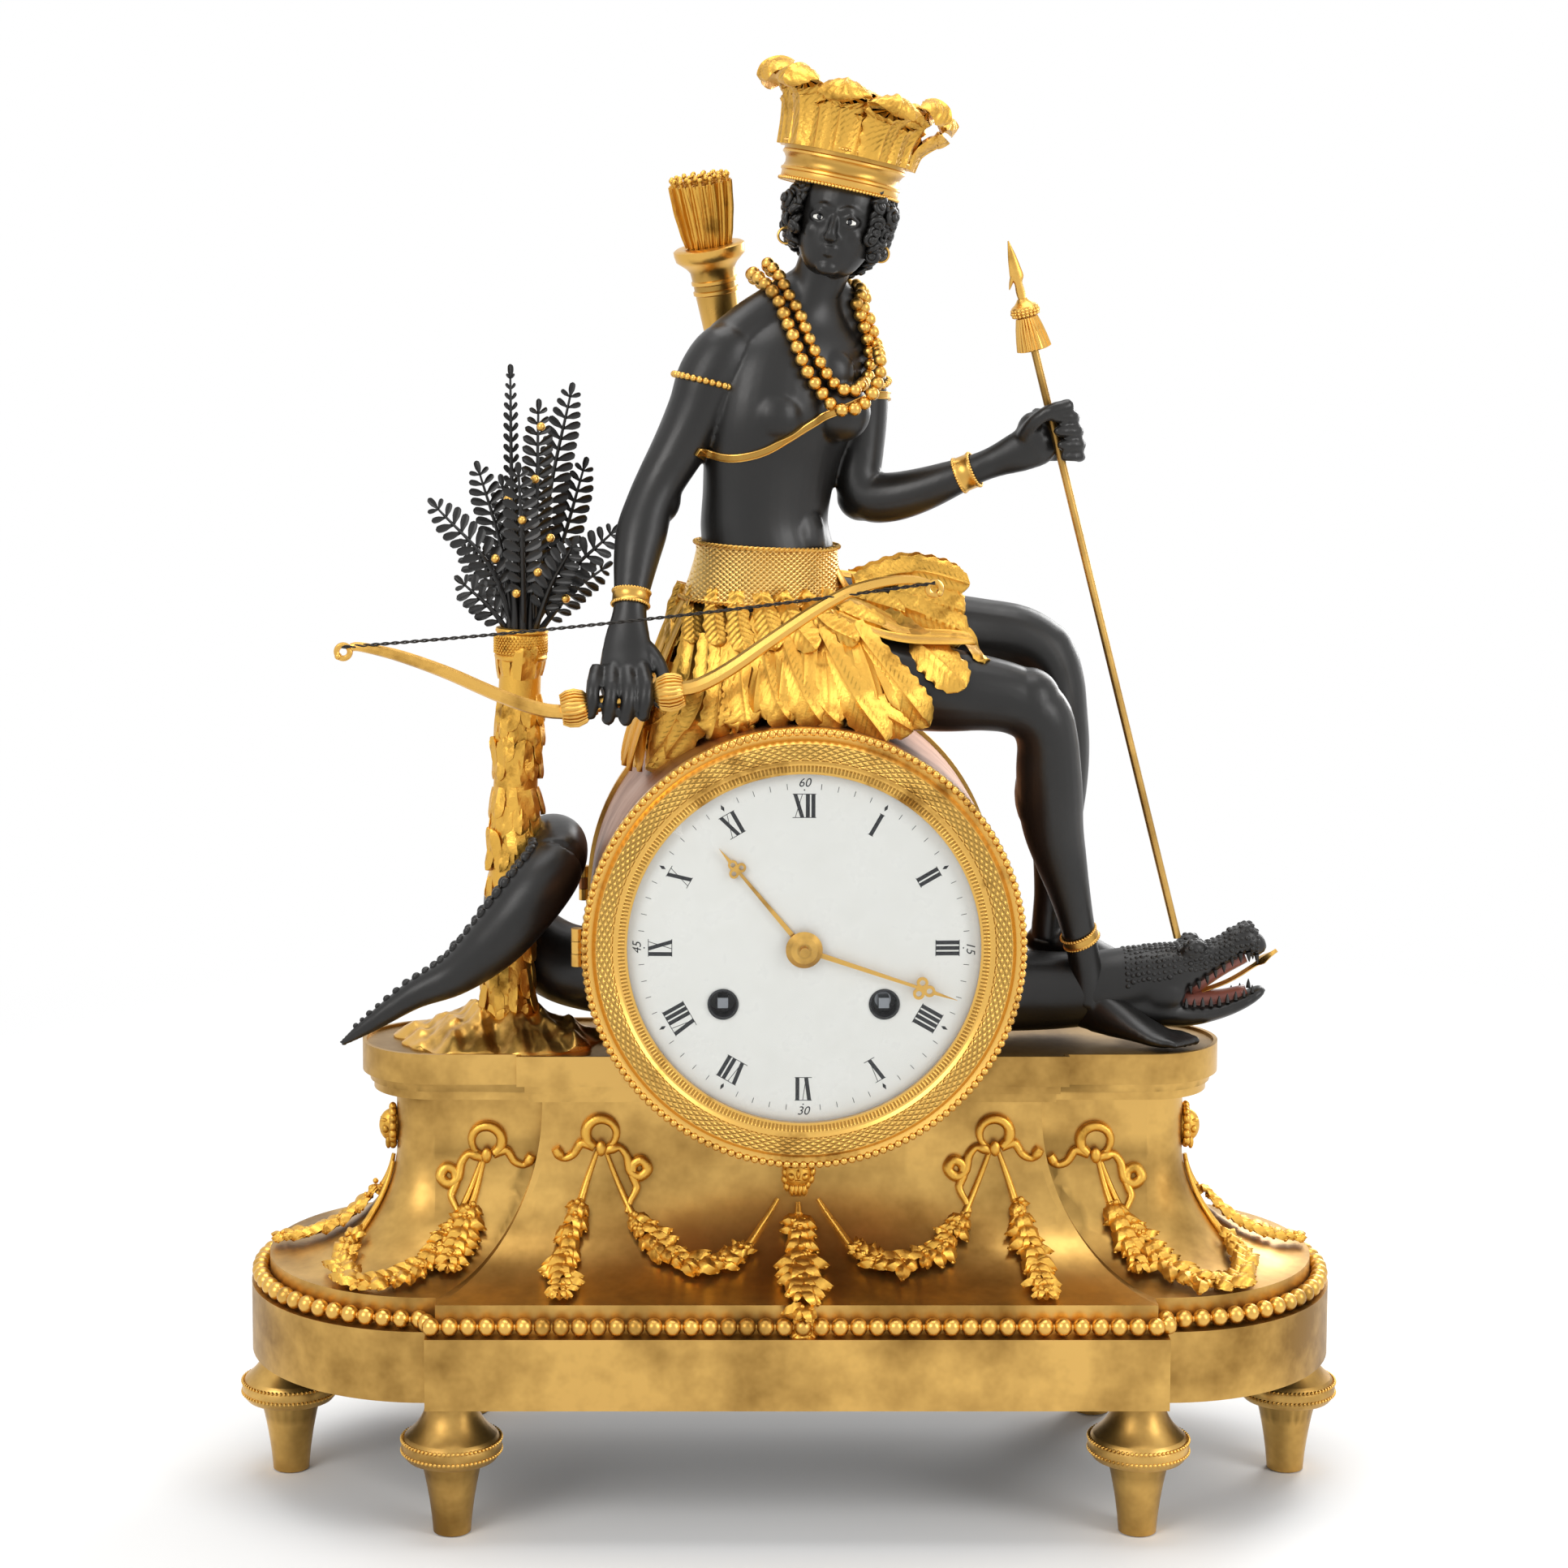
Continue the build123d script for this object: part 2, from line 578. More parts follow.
TRAIN_MODULE = 0.5
BARREL_TEETH = 80
SECOND_LEAVES = 10
SECOND_TEETH = 60
SECOND_MODULE = 0.6
CENTRE_LEAVES = 10
CENTRE_TEETH = 72
THIRD_LEAVES = 6
THIRD_TEETH = 72
THIRD_MODULE = 0.45
ESCAPE_LEAVES = 6
ESCAPE_TEETH = 40
ESCAPE_R = 8.0
CANNON_LEAVES = 12
MINUTE_TEETH = 36
MINUTE_LEAVES = 10
HOUR_TEETH = 40
HOUR_MODULE = 0.48
PIN_LEAVES = 10
PIN_WHEEL_R = 9.0
PIN_COUNT = 10
ARBOR_R = 0.8
CENTRE_R = 1.2
WIND_R = 2.6
BARREL_L = 16.0
RIM_T = 1.6            # thickness of a wheel's toothed rim
ANCHOR_Z = 46.8


def meet(first, second, reach_first, reach_second, upper):
    """The point at two given distances from two places."""
    run = hypot(second[0] - first[0], second[1] - first[1])
    share = (reach_first ** 2 - reach_second ** 2 + run ** 2) / (2 * run)
    rise = sqrt(reach_first ** 2 - share ** 2)
    along = ((second[0] - first[0]) / run, (second[1] - first[1]) / run)
    across = (-along[1], along[0]) if upper else (along[1], -along[0])
    return (first[0] + share * along[0] + rise * across[0], first[1] + share * along[1] + rise * across[1])


CENTRE = (0.0, 0.0)
GOING = (WIND_X, -WIND_DROP)
STRIKE = (-WIND_X, -WIND_DROP)
THIRD_TURN = 115.0
SECOND = meet(CENTRE, GOING, SECOND_MODULE * (SECOND_TEETH + CENTRE_LEAVES) / 2,
              TRAIN_MODULE * (BARREL_TEETH + SECOND_LEAVES) / 2, True)
THIRD_REACH = TRAIN_MODULE * (CENTRE_TEETH + THIRD_LEAVES) / 2
THIRD = (THIRD_REACH * cos(radians(THIRD_TURN)), THIRD_REACH * sin(radians(THIRD_TURN)))
ESCAPE_REACH = THIRD_MODULE * (THIRD_TEETH + ESCAPE_LEAVES) / 2
ESCAPE = (0.0, THIRD[1] + sqrt(ESCAPE_REACH ** 2 - THIRD[0] ** 2))
MOTION_REACH = TRAIN_MODULE * (CANNON_LEAVES + MINUTE_TEETH) / 2
MOTION_TURN = 60.0
MOTION = (MOTION_REACH * cos(radians(MOTION_TURN)), MOTION_REACH * sin(radians(MOTION_TURN)))
PIN_TURN = 112.0
PIN_REACH = TRAIN_MODULE * (BARREL_TEETH + PIN_LEAVES) / 2
PIN = (STRIKE[0] + PIN_REACH * cos(radians(PIN_TURN)), STRIKE[1] + PIN_REACH * sin(radians(PIN_TURN)))
ANCHOR = (0.0, ANCHOR_Z)
HAMMER = (-45.5, 14.0)
HAMMER_ARM = 24.0


def bearing(first, second):
    return degrees(atan2(second[1] - first[1], second[0] - first[0]))


def teeth(count, module, phase, height=0.75, width=0.40):
    """Outline of a toothed wheel; a tooth points along the phase angle."""
    pitch_r = module * count / 2
    tip_r = pitch_r + height * module
    root_r = pitch_r - 1.15 * module
    pitch = 2 * pi / count
    points = []
    for index in range(count):
        middle = radians(phase) + index * pitch
        for radius, part in ((root_r, -width * 0.62), (tip_r, -width * 0.26), (tip_r, width * 0.26),
                             (root_r, width * 0.62)):
            angle = middle + part * pitch
            points.append((radius * cos(angle), radius * sin(angle)))
    return make_face(Polyline(*points, close=True))


def driving_phase(first, second):
    return bearing(first, second)


def driven_phase(first, second, count):
    return bearing(second, first) + 180.0 / count


SPOKE_W = 0.9
RIM_W = 3.0
WHEEL_HUB_R = 4.0
LEAF_OUT = 0.3
MOTION_GAP = 0.4


def spokes(outline, rim_r, hub_r):
    """Cuts four openings in a wheel, which leaves four arms."""
    arm = 0.28 * hub_r + SPOKE_W
    cut = Circle(rim_r) - Circle(hub_r) - Rectangle(2 * rim_r, 2 * arm) - Rectangle(2 * arm, 2 * rim_r)
    return outline - cut


def wheel(place, sketch, back, thick):
    return sheet_at(Pos(*place) * sketch, back, thick)


def arbor(place, radius, back, front):
    return wheel(place, Circle(radius), back, back - front)


BARREL_ROOM = 1.4
WHEEL_STEP = 5.0
BARREL_FRONT = PLATE_BACK + BARREL_ROOM
BARREL_BACK = BARREL_FRONT + BARREL_L
SECOND_BACK = BARREL_BACK + WHEEL_STEP
CENTRE_BACK = SECOND_BACK + WHEEL_STEP
THIRD_BACK = CENTRE_BACK + 0.8 * WHEEL_STEP
ESCAPE_BACK = BARREL_BACK - 1.2 * WHEEL_STEP
LEAF_L = 3.0
MOTION_STUD = 4.8


def plate_holes(radius_extra):
    holes = Circle(CENTRE_R + radius_extra)
    for place, radius in ((SECOND, ARBOR_R), (THIRD, ARBOR_R), (ESCAPE, ARBOR_R), (ANCHOR, ARBOR_R),
                          (PIN, ARBOR_R), (HAMMER, ARBOR_R), (GOING, WIND_R), (STRIKE, WIND_R)):
        holes += Pos(*place) * Circle(radius + radius_extra)
    return holes


PILLAR_R = 2.4
PILLAR_TURNS = (35, 130, 245, 295)
PILLAR_REACH = PLATE_R - 1.5 * PILLAR_R


def front_plate():
    """Front plate with its four pillars."""
    plate = sheet_at(Circle(PLATE_R) - plate_holes(FIT), PLATE_BACK, PLATE_T)
    stud = arbor(MOTION, ARBOR_R, PLATE_FRONT, PLATE_FRONT - MOTION_STUD)
    for turn in PILLAR_TURNS:
        place = (PILLAR_REACH * cos(radians(turn)), PILLAR_REACH * sin(radians(turn)))
        plate += arbor(place, PILLAR_R, REAR_FRONT, PLATE_BACK)
    return plate + stud


COCK_W = 6.0
COCK_H = 3.0
PENDULUM_BACK = 6.0    # depth of the pendulum's plane


def back_plate():
    """Back plate with the cock that the pendulum hangs from."""
    plate = sheet_at(Circle(PLATE_R) - plate_holes(FIT), REAR_BACK, PLATE_T)
    cock = Pos(0, ANCHOR_Z + ARBOR_R + COCK_H / 2 + GAP) * Rectangle(COCK_W, COCK_H)
    return plate + sheet_at(cock, PENDULUM_BACK, PENDULUM_BACK - REAR_FRONT)


BARREL_STEP = 2.0


def barrel(place, mate):
    body_r = TRAIN_MODULE * BARREL_TEETH / 2 - BARREL_STEP
    rim = teeth(BARREL_TEETH, TRAIN_MODULE, driving_phase(place, mate))
    body = wheel(place, rim, BARREL_BACK, 2 * RIM_T)
    body += wheel(place, Circle(body_r), BARREL_BACK - RIM_T, BARREL_L - RIM_T)
    return body - wheel(place, Circle(WIND_R + FIT), BARREL_BACK + OVER, BARREL_L + 2 * OVER)


SQUARE_R = 2.2
SQUARE_L = 5.4
SHAFT_OUT = 2.0


def winding_arbor(place):
    """Barrel arbor with its winding square, which stands just behind the dial's hole."""
    shaft = arbor(place, WIND_R, REAR_BACK, PLATE_FRONT - SHAFT_OUT)
    square = wheel(place, Rectangle(1.5 * SQUARE_R, 1.5 * SQUARE_R), PLATE_FRONT - SHAFT_OUT, SQUARE_L)
    return shaft + square


def second_wheel():
    leaves = teeth(SECOND_LEAVES, TRAIN_MODULE, driven_phase(GOING, SECOND, SECOND_LEAVES), 0.7, 0.36)
    rim = teeth(SECOND_TEETH, SECOND_MODULE, driving_phase(SECOND, CENTRE))
    rim_r = SECOND_MODULE * SECOND_TEETH / 2 - RIM_W
    body = wheel(SECOND, spokes(rim, rim_r, WHEEL_HUB_R), SECOND_BACK, RIM_T)
    body += wheel(SECOND, leaves, BARREL_BACK, LEAF_L)
    return body + arbor(SECOND, ARBOR_R, REAR_BACK, PLATE_FRONT)


def centre_wheel():
    """Centre wheel, its pinion, the long centre arbor and the cannon pinion that carries the minute hand."""
    leaves = teeth(CENTRE_LEAVES, SECOND_MODULE, driven_phase(SECOND, CENTRE, CENTRE_LEAVES), 0.7, 0.36)
    rim = teeth(CENTRE_TEETH, TRAIN_MODULE, driving_phase(CENTRE, THIRD))
    rim_r = TRAIN_MODULE * CENTRE_TEETH / 2 - RIM_W
    cannon = teeth(CANNON_LEAVES, TRAIN_MODULE, driving_phase(CENTRE, MOTION), 0.7, 0.36)
    body = wheel(CENTRE, spokes(rim, rim_r, WHEEL_HUB_R), CENTRE_BACK, RIM_T)
    body += wheel(CENTRE, leaves, SECOND_BACK + LEAF_OUT, LEAF_L)
    body += wheel(CENTRE, cannon, PLATE_FRONT - MOTION_GAP, RIM_T)
    return body + arbor(CENTRE, CENTRE_R, REAR_BACK, MINUTE_BACK)


def third_wheel():
    leaves = teeth(THIRD_LEAVES, TRAIN_MODULE, driven_phase(CENTRE, THIRD, THIRD_LEAVES), 0.65, 0.3)
    rim = teeth(THIRD_TEETH, THIRD_MODULE, driving_phase(THIRD, ESCAPE))
    rim_r = THIRD_MODULE * THIRD_TEETH / 2 - 0.87 * RIM_W
    body = wheel(THIRD, spokes(rim, rim_r, 0.85 * WHEEL_HUB_R), THIRD_BACK, RIM_T)
    body += wheel(THIRD, leaves, CENTRE_BACK + LEAF_OUT, LEAF_L)
    return body + arbor(THIRD, ARBOR_R, REAR_BACK, PLATE_FRONT)


def escape_outline():
    """Pointed, slanted teeth of the escape wheel."""
    points = []
    for index in range(ESCAPE_TEETH):
        angle = 2 * pi * index / ESCAPE_TEETH
        points.append((ESCAPE_R * cos(angle), ESCAPE_R * sin(angle)))
        angle += 0.35 * 2 * pi / ESCAPE_TEETH
        points.append((0.86 * ESCAPE_R * cos(angle), 0.86 * ESCAPE_R * sin(angle)))
    return make_face(Polyline(*points, close=True))


def escape_wheel():
    leaves = teeth(ESCAPE_LEAVES, THIRD_MODULE, driven_phase(THIRD, ESCAPE, ESCAPE_LEAVES), 0.65, 0.3)
    body = wheel(ESCAPE, escape_outline(), ESCAPE_BACK, RIM_T)
    body += wheel(ESCAPE, leaves, THIRD_BACK + LEAF_OUT, LEAF_L)
    return body + arbor(ESCAPE, ARBOR_R, REAR_BACK, PLATE_FRONT)


PALLET_GAP = 0.9
PALLET_T = 1.4
CRUTCH_L = 22.0
ROD_R = 0.9
CRUTCH_OUT = 2.4
CRUTCH_T = 1.2


def anchor():
    """Anchor over the escape wheel, its arbor, and the crutch that leads the pendulum."""
    pallet_r = ESCAPE_R + PALLET_GAP
    hang = ANCHOR_Z - ESCAPE[1]
    arch = Pos(0, -hang) * (Circle(pallet_r + PALLET_T) - Circle(pallet_r))
    arch &= Pos(0, -0.2 * hang) * Rectangle(2 * ESCAPE_R, 1.1 * hang)
    arms = arch + Rectangle(2 * PALLET_T, 2 * PALLET_T) + Pos(0, -0.15 * hang) * Rectangle(PALLET_T, 0.5 * hang)
    body = wheel(ANCHOR, arms, ESCAPE_BACK, RIM_T)
    body += arbor(ANCHOR, ARBOR_R, REAR_BACK + CRUTCH_OUT, PLATE_FRONT)
    crutch_back = REAR_BACK + CRUTCH_OUT
    bar = Pos(0, -CRUTCH_L / 2) * Rectangle(2 * ARBOR_R, CRUTCH_L)
    body += wheel(ANCHOR, bar, crutch_back, CRUTCH_T)
    fork = Pos(0, -CRUTCH_L) * Rectangle(4 * ROD_R + 2 * GAP, 2 * ARBOR_R)
    slot = Pos(0, -CRUTCH_L) * Rectangle(2 * ROD_R + 2 * GAP, 4 * ARBOR_R)
    body += wheel(ANCHOR, fork, crutch_back, CRUTCH_T)
    return body + wheel(ANCHOR, fork - slot, PENDULUM_BACK, PENDULUM_BACK - crutch_back + CRUTCH_T)


PENDULUM_L = 97.0
BOB_R = 11.0
BOB_T = 5.0
SPRING_L = 6.0
SPRING_W = 0.4


def pendulum():
    """Suspension spring, rod and lens-shaped bob."""
    middle = PENDULUM_BACK - ROD_R - 2 * SPRING_W
    spring = Pos(0, -SPRING_L / 2) * Rectangle(SPRING_W, SPRING_L + SPRING_W)
    body = wheel(ANCHOR, spring, middle + ROD_R, 2 * ROD_R)
    top = face_plane(middle).from_local_coords(Vector(0, ANCHOR_Z - SPRING_L, 0))
    low = face_plane(middle).from_local_coords(Vector(0, ANCHOR_Z - PENDULUM_L, 0))
    body += rod(top, low, ROD_R)
    lens = make_face(ThreePointArc((0, BOB_T / 2), (BOB_R, 0), (0, -BOB_T / 2)) + Line((0, -BOB_T / 2), (0, BOB_T / 2)))
    bob = revolve(Plane.XY * lens, Axis.Y)
    return body + Pos(low) * bob


HOUR_GAP = 0.5
MOTION_BACK = PLATE_FRONT - MOTION_GAP
HOUR_WHEEL_BACK = MOTION_BACK - RIM_T - HOUR_GAP


def minute_wheel():
    phase = driven_phase(CENTRE, MOTION, MINUTE_TEETH)
    rim = teeth(MINUTE_TEETH, TRAIN_MODULE, phase)
    leaves = teeth(MINUTE_LEAVES, HOUR_MODULE, driving_phase(MOTION, CENTRE), 0.7, 0.36)
    body = wheel(MOTION, rim, MOTION_BACK, RIM_T) + wheel(MOTION, leaves, MOTION_BACK - RIM_T, RIM_T + 2 * LEAF_OUT)
    return body - wheel(MOTION, Circle(ARBOR_R + FIT), MOTION_BACK + OVER, 3 * RIM_T + OVER)


HAND_T = 0.8
HAND_GAP = 0.5
HOUR_BACK = RING_FRONT - DIAL_T - DIAL_DOME - HAND_GAP
MINUTE_BACK = HOUR_BACK - HAND_T - HAND_GAP


def hour_wheel():
    rim = teeth(HOUR_TEETH, HOUR_MODULE, driven_phase(MOTION, CENTRE, HOUR_TEETH))
    body = wheel(CENTRE, rim, HOUR_WHEEL_BACK, RIM_T)
    body += arbor(CENTRE, HOUR_PIPE_R, HOUR_WHEEL_BACK, HOUR_BACK)
    return body - wheel(CENTRE, Circle(CENTRE_R + FIT), HOUR_WHEEL_BACK + OVER, 20 * RIM_T)


def hand_outline(length, width, ring_share):
    """A slender hand with three small open rings set below its point."""
    ring_r = 0.036 * length
    ring_y = ring_share * length
    blade_end = ring_y + 0.8 * ring_r
    blade = make_face(Polyline((-width, 0), (-0.5 * width, blade_end), (0.5 * width, blade_end), (width, 0),
                               close=True))
    tip = make_face(Polyline((-0.7 * width, ring_y + 2.4 * ring_r), (0, length), (0.7 * width, ring_y + 2.4 * ring_r),
                             (0, ring_y + 2.2 * ring_r), close=True))
    rings = Sketch()
    holes = Sketch()
    for x, y in ((-ring_r, 0), (ring_r, 0), (0, 1.6 * ring_r)):
        rings += Pos(x, ring_y + y) * Circle(ring_r)
        holes += Pos(x, ring_y + y) * Circle(0.5 * ring_r)
    return Circle(HUB_R) + blade + tip + rings - holes


HOUR_L = 41.7
MINUTE_L = 50.8
HAND_W = 0.85
HUB_R = 4.2
COLLET_R = 1.5
WASHER_T = 2.0
COLLET_L = 2.2


def hour_hand():
    outline = Rot(0, 0, -HOUR_ANGLE) * hand_outline(HOUR_L, HAND_W, 0.78)
    pipe = Circle(CENTRE_R + GAP)
    return sheet_at(outline - pipe, HOUR_BACK, HAND_T)


def minute_hand():
    """Minute hand with the ribbed washer and the collet that hold it."""
    outline = Rot(0, 0, -MINUTE_ANGLE) * hand_outline(MINUTE_L, HAND_W, 0.76)
    hand = sheet_at(outline, MINUTE_BACK, HAND_T)
    front = MINUTE_BACK - HAND_T
    top = front - WASHER_T
    washer = turned([(0, front), (1.38 * HUB_R, front), (HUB_R, front - 0.7 * WASHER_T), (0.5 * HUB_R, top), (0, top)])
    collet = arbor(CENTRE, COLLET_R, top, top - COLLET_L)
    return hand + washer + collet


PIN_R = 0.6
PIN_L = 2.0


def pin_wheel():
    leaves = teeth(PIN_LEAVES, TRAIN_MODULE, driven_phase(STRIKE, PIN, PIN_LEAVES), 0.7, 0.36)
    body = wheel(PIN, Circle(PIN_WHEEL_R), SECOND_BACK, RIM_T) + wheel(PIN, leaves, BARREL_BACK, LEAF_L)
    for index in range(PIN_COUNT):
        turn = 2 * pi * index / PIN_COUNT
        spot = (PIN[0] + 0.85 * PIN_WHEEL_R * cos(turn), PIN[1] + 0.85 * PIN_WHEEL_R * sin(turn))
        body += arbor(spot, PIN_R, SECOND_BACK + PIN_L, SECOND_BACK)
    return body + arbor(PIN, ARBOR_R, REAR_BACK, PLATE_FRONT)


BELL_R = 34.0
BELL_T = 1.6
BELL_FRONT = 16.0
BELL_DEPTH = 20.0
POST_R = 1.8
HEAD_R = 3.2
HEAD_L = 6.0
ARM_OUT = 3.0
TAIL_L = 4.8
TAIL_W = 1.4
BELL_SCREW_R = 3.0
BRACKET_OUT = 4.0
BRACKET_T = 1.6
SCREW_HEAD = 2.4


def hammer():
    """Hammer arbor, arm behind the back plate and the striking head beside the bell."""
    arm_back = REAR_BACK + ARM_OUT
    turn = radians(-72)
    end = (HAMMER[0] + HAMMER_ARM * cos(turn), HAMMER[1] + HAMMER_ARM * sin(turn))
    body = arbor(HAMMER, ARBOR_R, arm_back, PLATE_FRONT)
    bar = Rot(0, 0, degrees(turn)) * Pos(HAMMER_ARM / 2, 0) * Rectangle(HAMMER_ARM + 2 * ARBOR_R, 2 * ARBOR_R)
    body += wheel(HAMMER, bar, arm_back, CRUTCH_T)
    tail = Rot(0, 0, degrees(turn) - 90) * Pos(-TAIL_L / 2, 0) * Rectangle(TAIL_L, TAIL_W)
    body += wheel(HAMMER, tail, SECOND_BACK + PIN_L, TAIL_W)
    return body + arbor(end, HEAD_R, BELL_FRONT + HEAD_L, arm_back - CRUTCH_T)


def bell():
    """Cup bell, its bracket from the back plate and the screw through its crown."""
    crown = BELL_FRONT + BELL_DEPTH
    outer = Spline((BELL_R, BELL_FRONT), (0.94 * BELL_R, BELL_FRONT + 0.45 * BELL_DEPTH), (0.6 * BELL_R, crown - 0.1 * BELL_DEPTH),
                   (BELL_SCREW_R, crown))
    inner = Spline((BELL_R - BELL_T, BELL_FRONT), (0.94 * BELL_R - BELL_T, BELL_FRONT + 0.42 * BELL_DEPTH),
                   (0.6 * BELL_R - BELL_T, crown - 0.1 * BELL_DEPTH - BELL_T), (BELL_SCREW_R, crown - BELL_T))
    ends = Line(outer @ 0, inner @ 0) + Line(outer @ 1, inner @ 1)
    section = Plane(origin=(DRUM_X, 0, DRUM_Z), x_dir=(1, 0, 0), z_dir=(0, 0, 1)) * make_face(outer + inner + ends)
    cup = revolve(section, Axis((DRUM_X, 0, DRUM_Z), (0, 1, 0)))
    foot = (0.72 * BELL_R, -0.9 * BELL_R)
    post = arbor(foot, POST_R, crown + BRACKET_OUT, REAR_BACK)
    reach = hypot(*foot)
    bar = Rot(0, 0, bearing(CENTRE, foot)) * Pos(reach / 2, 0) * Rectangle(reach + BRACKET_OUT, 2 * POST_R)
    bracket = post + sheet_at(bar, crown + BRACKET_OUT, BRACKET_T)
    screw = arbor(CENTRE, BELL_SCREW_R - SEAT_GAP, crown + SCREW_HEAD, crown - 1.6 * BELL_T)
    screw += arbor(CENTRE, 1.5 * BELL_SCREW_R, crown + SCREW_HEAD, crown)
    return cup + bracket + screw


# The figure: stations as shares of its unit, from the top of the drum: x, y, z, half width, half depth, turn
TORSO_SHARES = [
    (-0.10, 0.00, -0.10, 0.27, 0.23, 45),
    (-0.10, 0.00, 0.11, 0.29, 0.24, 44),
    (-0.115, 0.00, 0.355, 0.27, 0.22, 41),
    (-0.102, -0.01, 0.515, 0.250, 0.198, 39),
    (-0.112, -0.02, 0.61, 0.238, 0.182, 37),
    (-0.097, -0.03, 0.80, 0.240, 0.176, 34),
    (-0.040, -0.04, 0.98, 0.268, 0.188, 30),
    (-0.010, -0.04, 1.12, 0.262, 0.170, 28),
    (0.005, -0.03, 1.22, 0.235, 0.135, 28),
    (0.015, -0.02, 1.285, 0.170, 0.110, 26),
    (0.040, -0.02, 1.335, 0.115, 0.103, 15),
    (0.060, -0.03, 1.40, 0.098, 0.098, 5),
    (0.085, -0.04, 1.50, 0.092, 0.094, 0),
]
BREAST_SHARES = [(-0.085, -0.19, 0.955, 0.088), (0.155, -0.13, 0.965, 0.086)]
HEAD_SHARES = [
    (0.100, -0.125, 1.412, 0.045, 0.035, -10),
    (0.103, -0.105, 1.45, 0.085, 0.085, -10),
    (0.108, -0.075, 1.51, 0.118, 0.140, -10),
    (0.115, -0.060, 1.60, 0.132, 0.168, -10),
    (0.125, -0.050, 1.69, 0.136, 0.175, -10),
    (0.135, -0.045, 1.76, 0.120, 0.155, -10),
    (0.140, -0.045, 1.815, 0.070, 0.090, -10),
]
HAIR_SHARES = [(-0.035, -0.02, 1.655, 0.075), (-0.03, -0.03, 1.59, 0.06), (0.265, -0.01, 1.60, 0.072),
               (0.27, -0.01, 1.53, 0.055), (0.13, 0.10, 1.62, 0.13)]
RIGHT_ARM_SHARES = [
    (-0.150, -0.08, 1.215, 0.085, 0.085),
    (-0.245, -0.11, 1.165, 0.112, 0.108),
    (-0.310, -0.12, 1.04, 0.112, 0.108),
    (-0.380, -0.13, 0.88, 0.098, 0.098),
    (-0.465, -0.16, 0.735, 0.086, 0.088),
    (-0.515, -0.21, 0.58, 0.083, 0.085),
    (-0.540, -0.27, 0.44, 0.065, 0.065),
    (-0.548, -0.31, 0.36, 0.060, 0.056),
    (-0.560, -0.37, 0.24, 0.082, 0.052),
    (-0.570, -0.41, 0.12, 0.090, 0.058),
    (-0.575, -0.42, 0.03, 0.074, 0.050),
]
LEFT_ARM_SHARES = [
    (0.120, 0.05, 1.20, 0.080, 0.080),
    (0.185, 0.08, 1.14, 0.098, 0.098),
    (0.215, 0.09, 1.00, 0.094, 0.094),
    (0.205, 0.08, 0.84, 0.086, 0.086),
    (0.205, 0.05, 0.70, 0.088, 0.086),
    (0.340, 0.02, 0.695, 0.082, 0.080),
    (0.470, -0.03, 0.745, 0.068, 0.066),
    (0.575, -0.06, 0.785, 0.054, 0.052),
    (0.690, -0.09, 0.83, 0.064, 0.048),
    (0.780, -0.115, 0.875, 0.078, 0.062),
    (0.845, -0.13, 0.905, 0.060, 0.060),
]
RIGHT_LEG_SHARES = [
    (-0.06, -0.12, 0.15, 0.185, 0.17),
    (0.20, -0.18, 0.115, 0.168, 0.158),
    (0.47, -0.21, 0.075, 0.142, 0.138),
    (0.68, -0.215, 0.055, 0.122, 0.122),
    (0.795, -0.205, -0.03, 0.118, 0.122),
    (0.815, -0.18, -0.16, 0.112, 0.116),
    (0.830, -0.13, -0.32, 0.112, 0.114),
    (0.870, -0.08, -0.49, 0.094, 0.094),
    (0.920, -0.03, -0.68, 0.072, 0.072),
    (0.965, 0.00, -0.84, 0.060, 0.064),
    (0.975, 0.01, -0.97, 0.064, 0.072),
]
LEFT_LEG_SHARES = [
    (0.02, 0.12, 0.27, 0.165, 0.16),
    (0.28, 0.13, 0.245, 0.148, 0.145),
    (0.55, 0.15, 0.215, 0.130, 0.128),
    (0.75, 0.16, 0.20, 0.115, 0.115),
    (0.865, 0.16, 0.11, 0.112, 0.114),
    (0.880, 0.15, -0.02, 0.104, 0.106),
    (0.880, 0.15, -0.20, 0.108, 0.110),
    (0.880, 0.16, -0.45, 0.085, 0.088),
    (0.865, 0.18, -0.68, 0.062, 0.066),
    (0.855, 0.19, -0.80, 0.056, 0.062),
]
RIGHT_FOOT_SHARES = [
    (0.925, 0.065, -1.03, 0.050, 0.060),
    (0.975, 0.025, -1.005, 0.066, 0.085),
    (1.070, -0.045, -1.045, 0.076, 0.070),
    (1.180, -0.115, -1.085, 0.084, 0.042),
    (1.270, -0.165, -1.105, 0.074, 0.026),
    (1.320, -0.190, -1.113, 0.050, 0.016),
]
LEFT_FOOT_SHARES = [
    (0.830, 0.225, -0.835, 0.045, 0.045),
    (0.880, 0.195, -0.815, 0.060, 0.072),
    (0.980, 0.165, -0.850, 0.068, 0.058),
    (1.090, 0.135, -0.885, 0.074, 0.038),
    (1.170, 0.115, -0.905, 0.060, 0.024),
]


def on_figure(x, y, z):
    """A place given as shares of the figure's unit from the top of the drum."""
    return Vector(DRUM_X, 0, DRUM_Z + DRUM_R) + Vector(x, y, z) * FIGURE


def limb_rows(shares):
    return [(on_figure(x, y, z), FIGURE * wide, FIGURE * deep) for x, y, z, wide, deep in shares]


def stack(shares, grow=0.0):
    """Level ellipses, each turned about the upright, lofted into a trunk or head."""
    sections = []
    for x, y, z, wide, deep, turn in shares:
        ellipse = Rot(0, 0, turn) * Ellipse(FIGURE * wide + grow, FIGURE * deep + grow)
        sections.append(Pos(on_figure(x, y, z)) * ellipse)
    return loft(sections, ruled=True)


def ball(x, y, z, radius):
    return Pos(on_figure(x, y, z)) * Sphere(FIGURE * radius)


def trunk_solid(grow=0.0):
    return stack(TORSO_SHARES, grow)


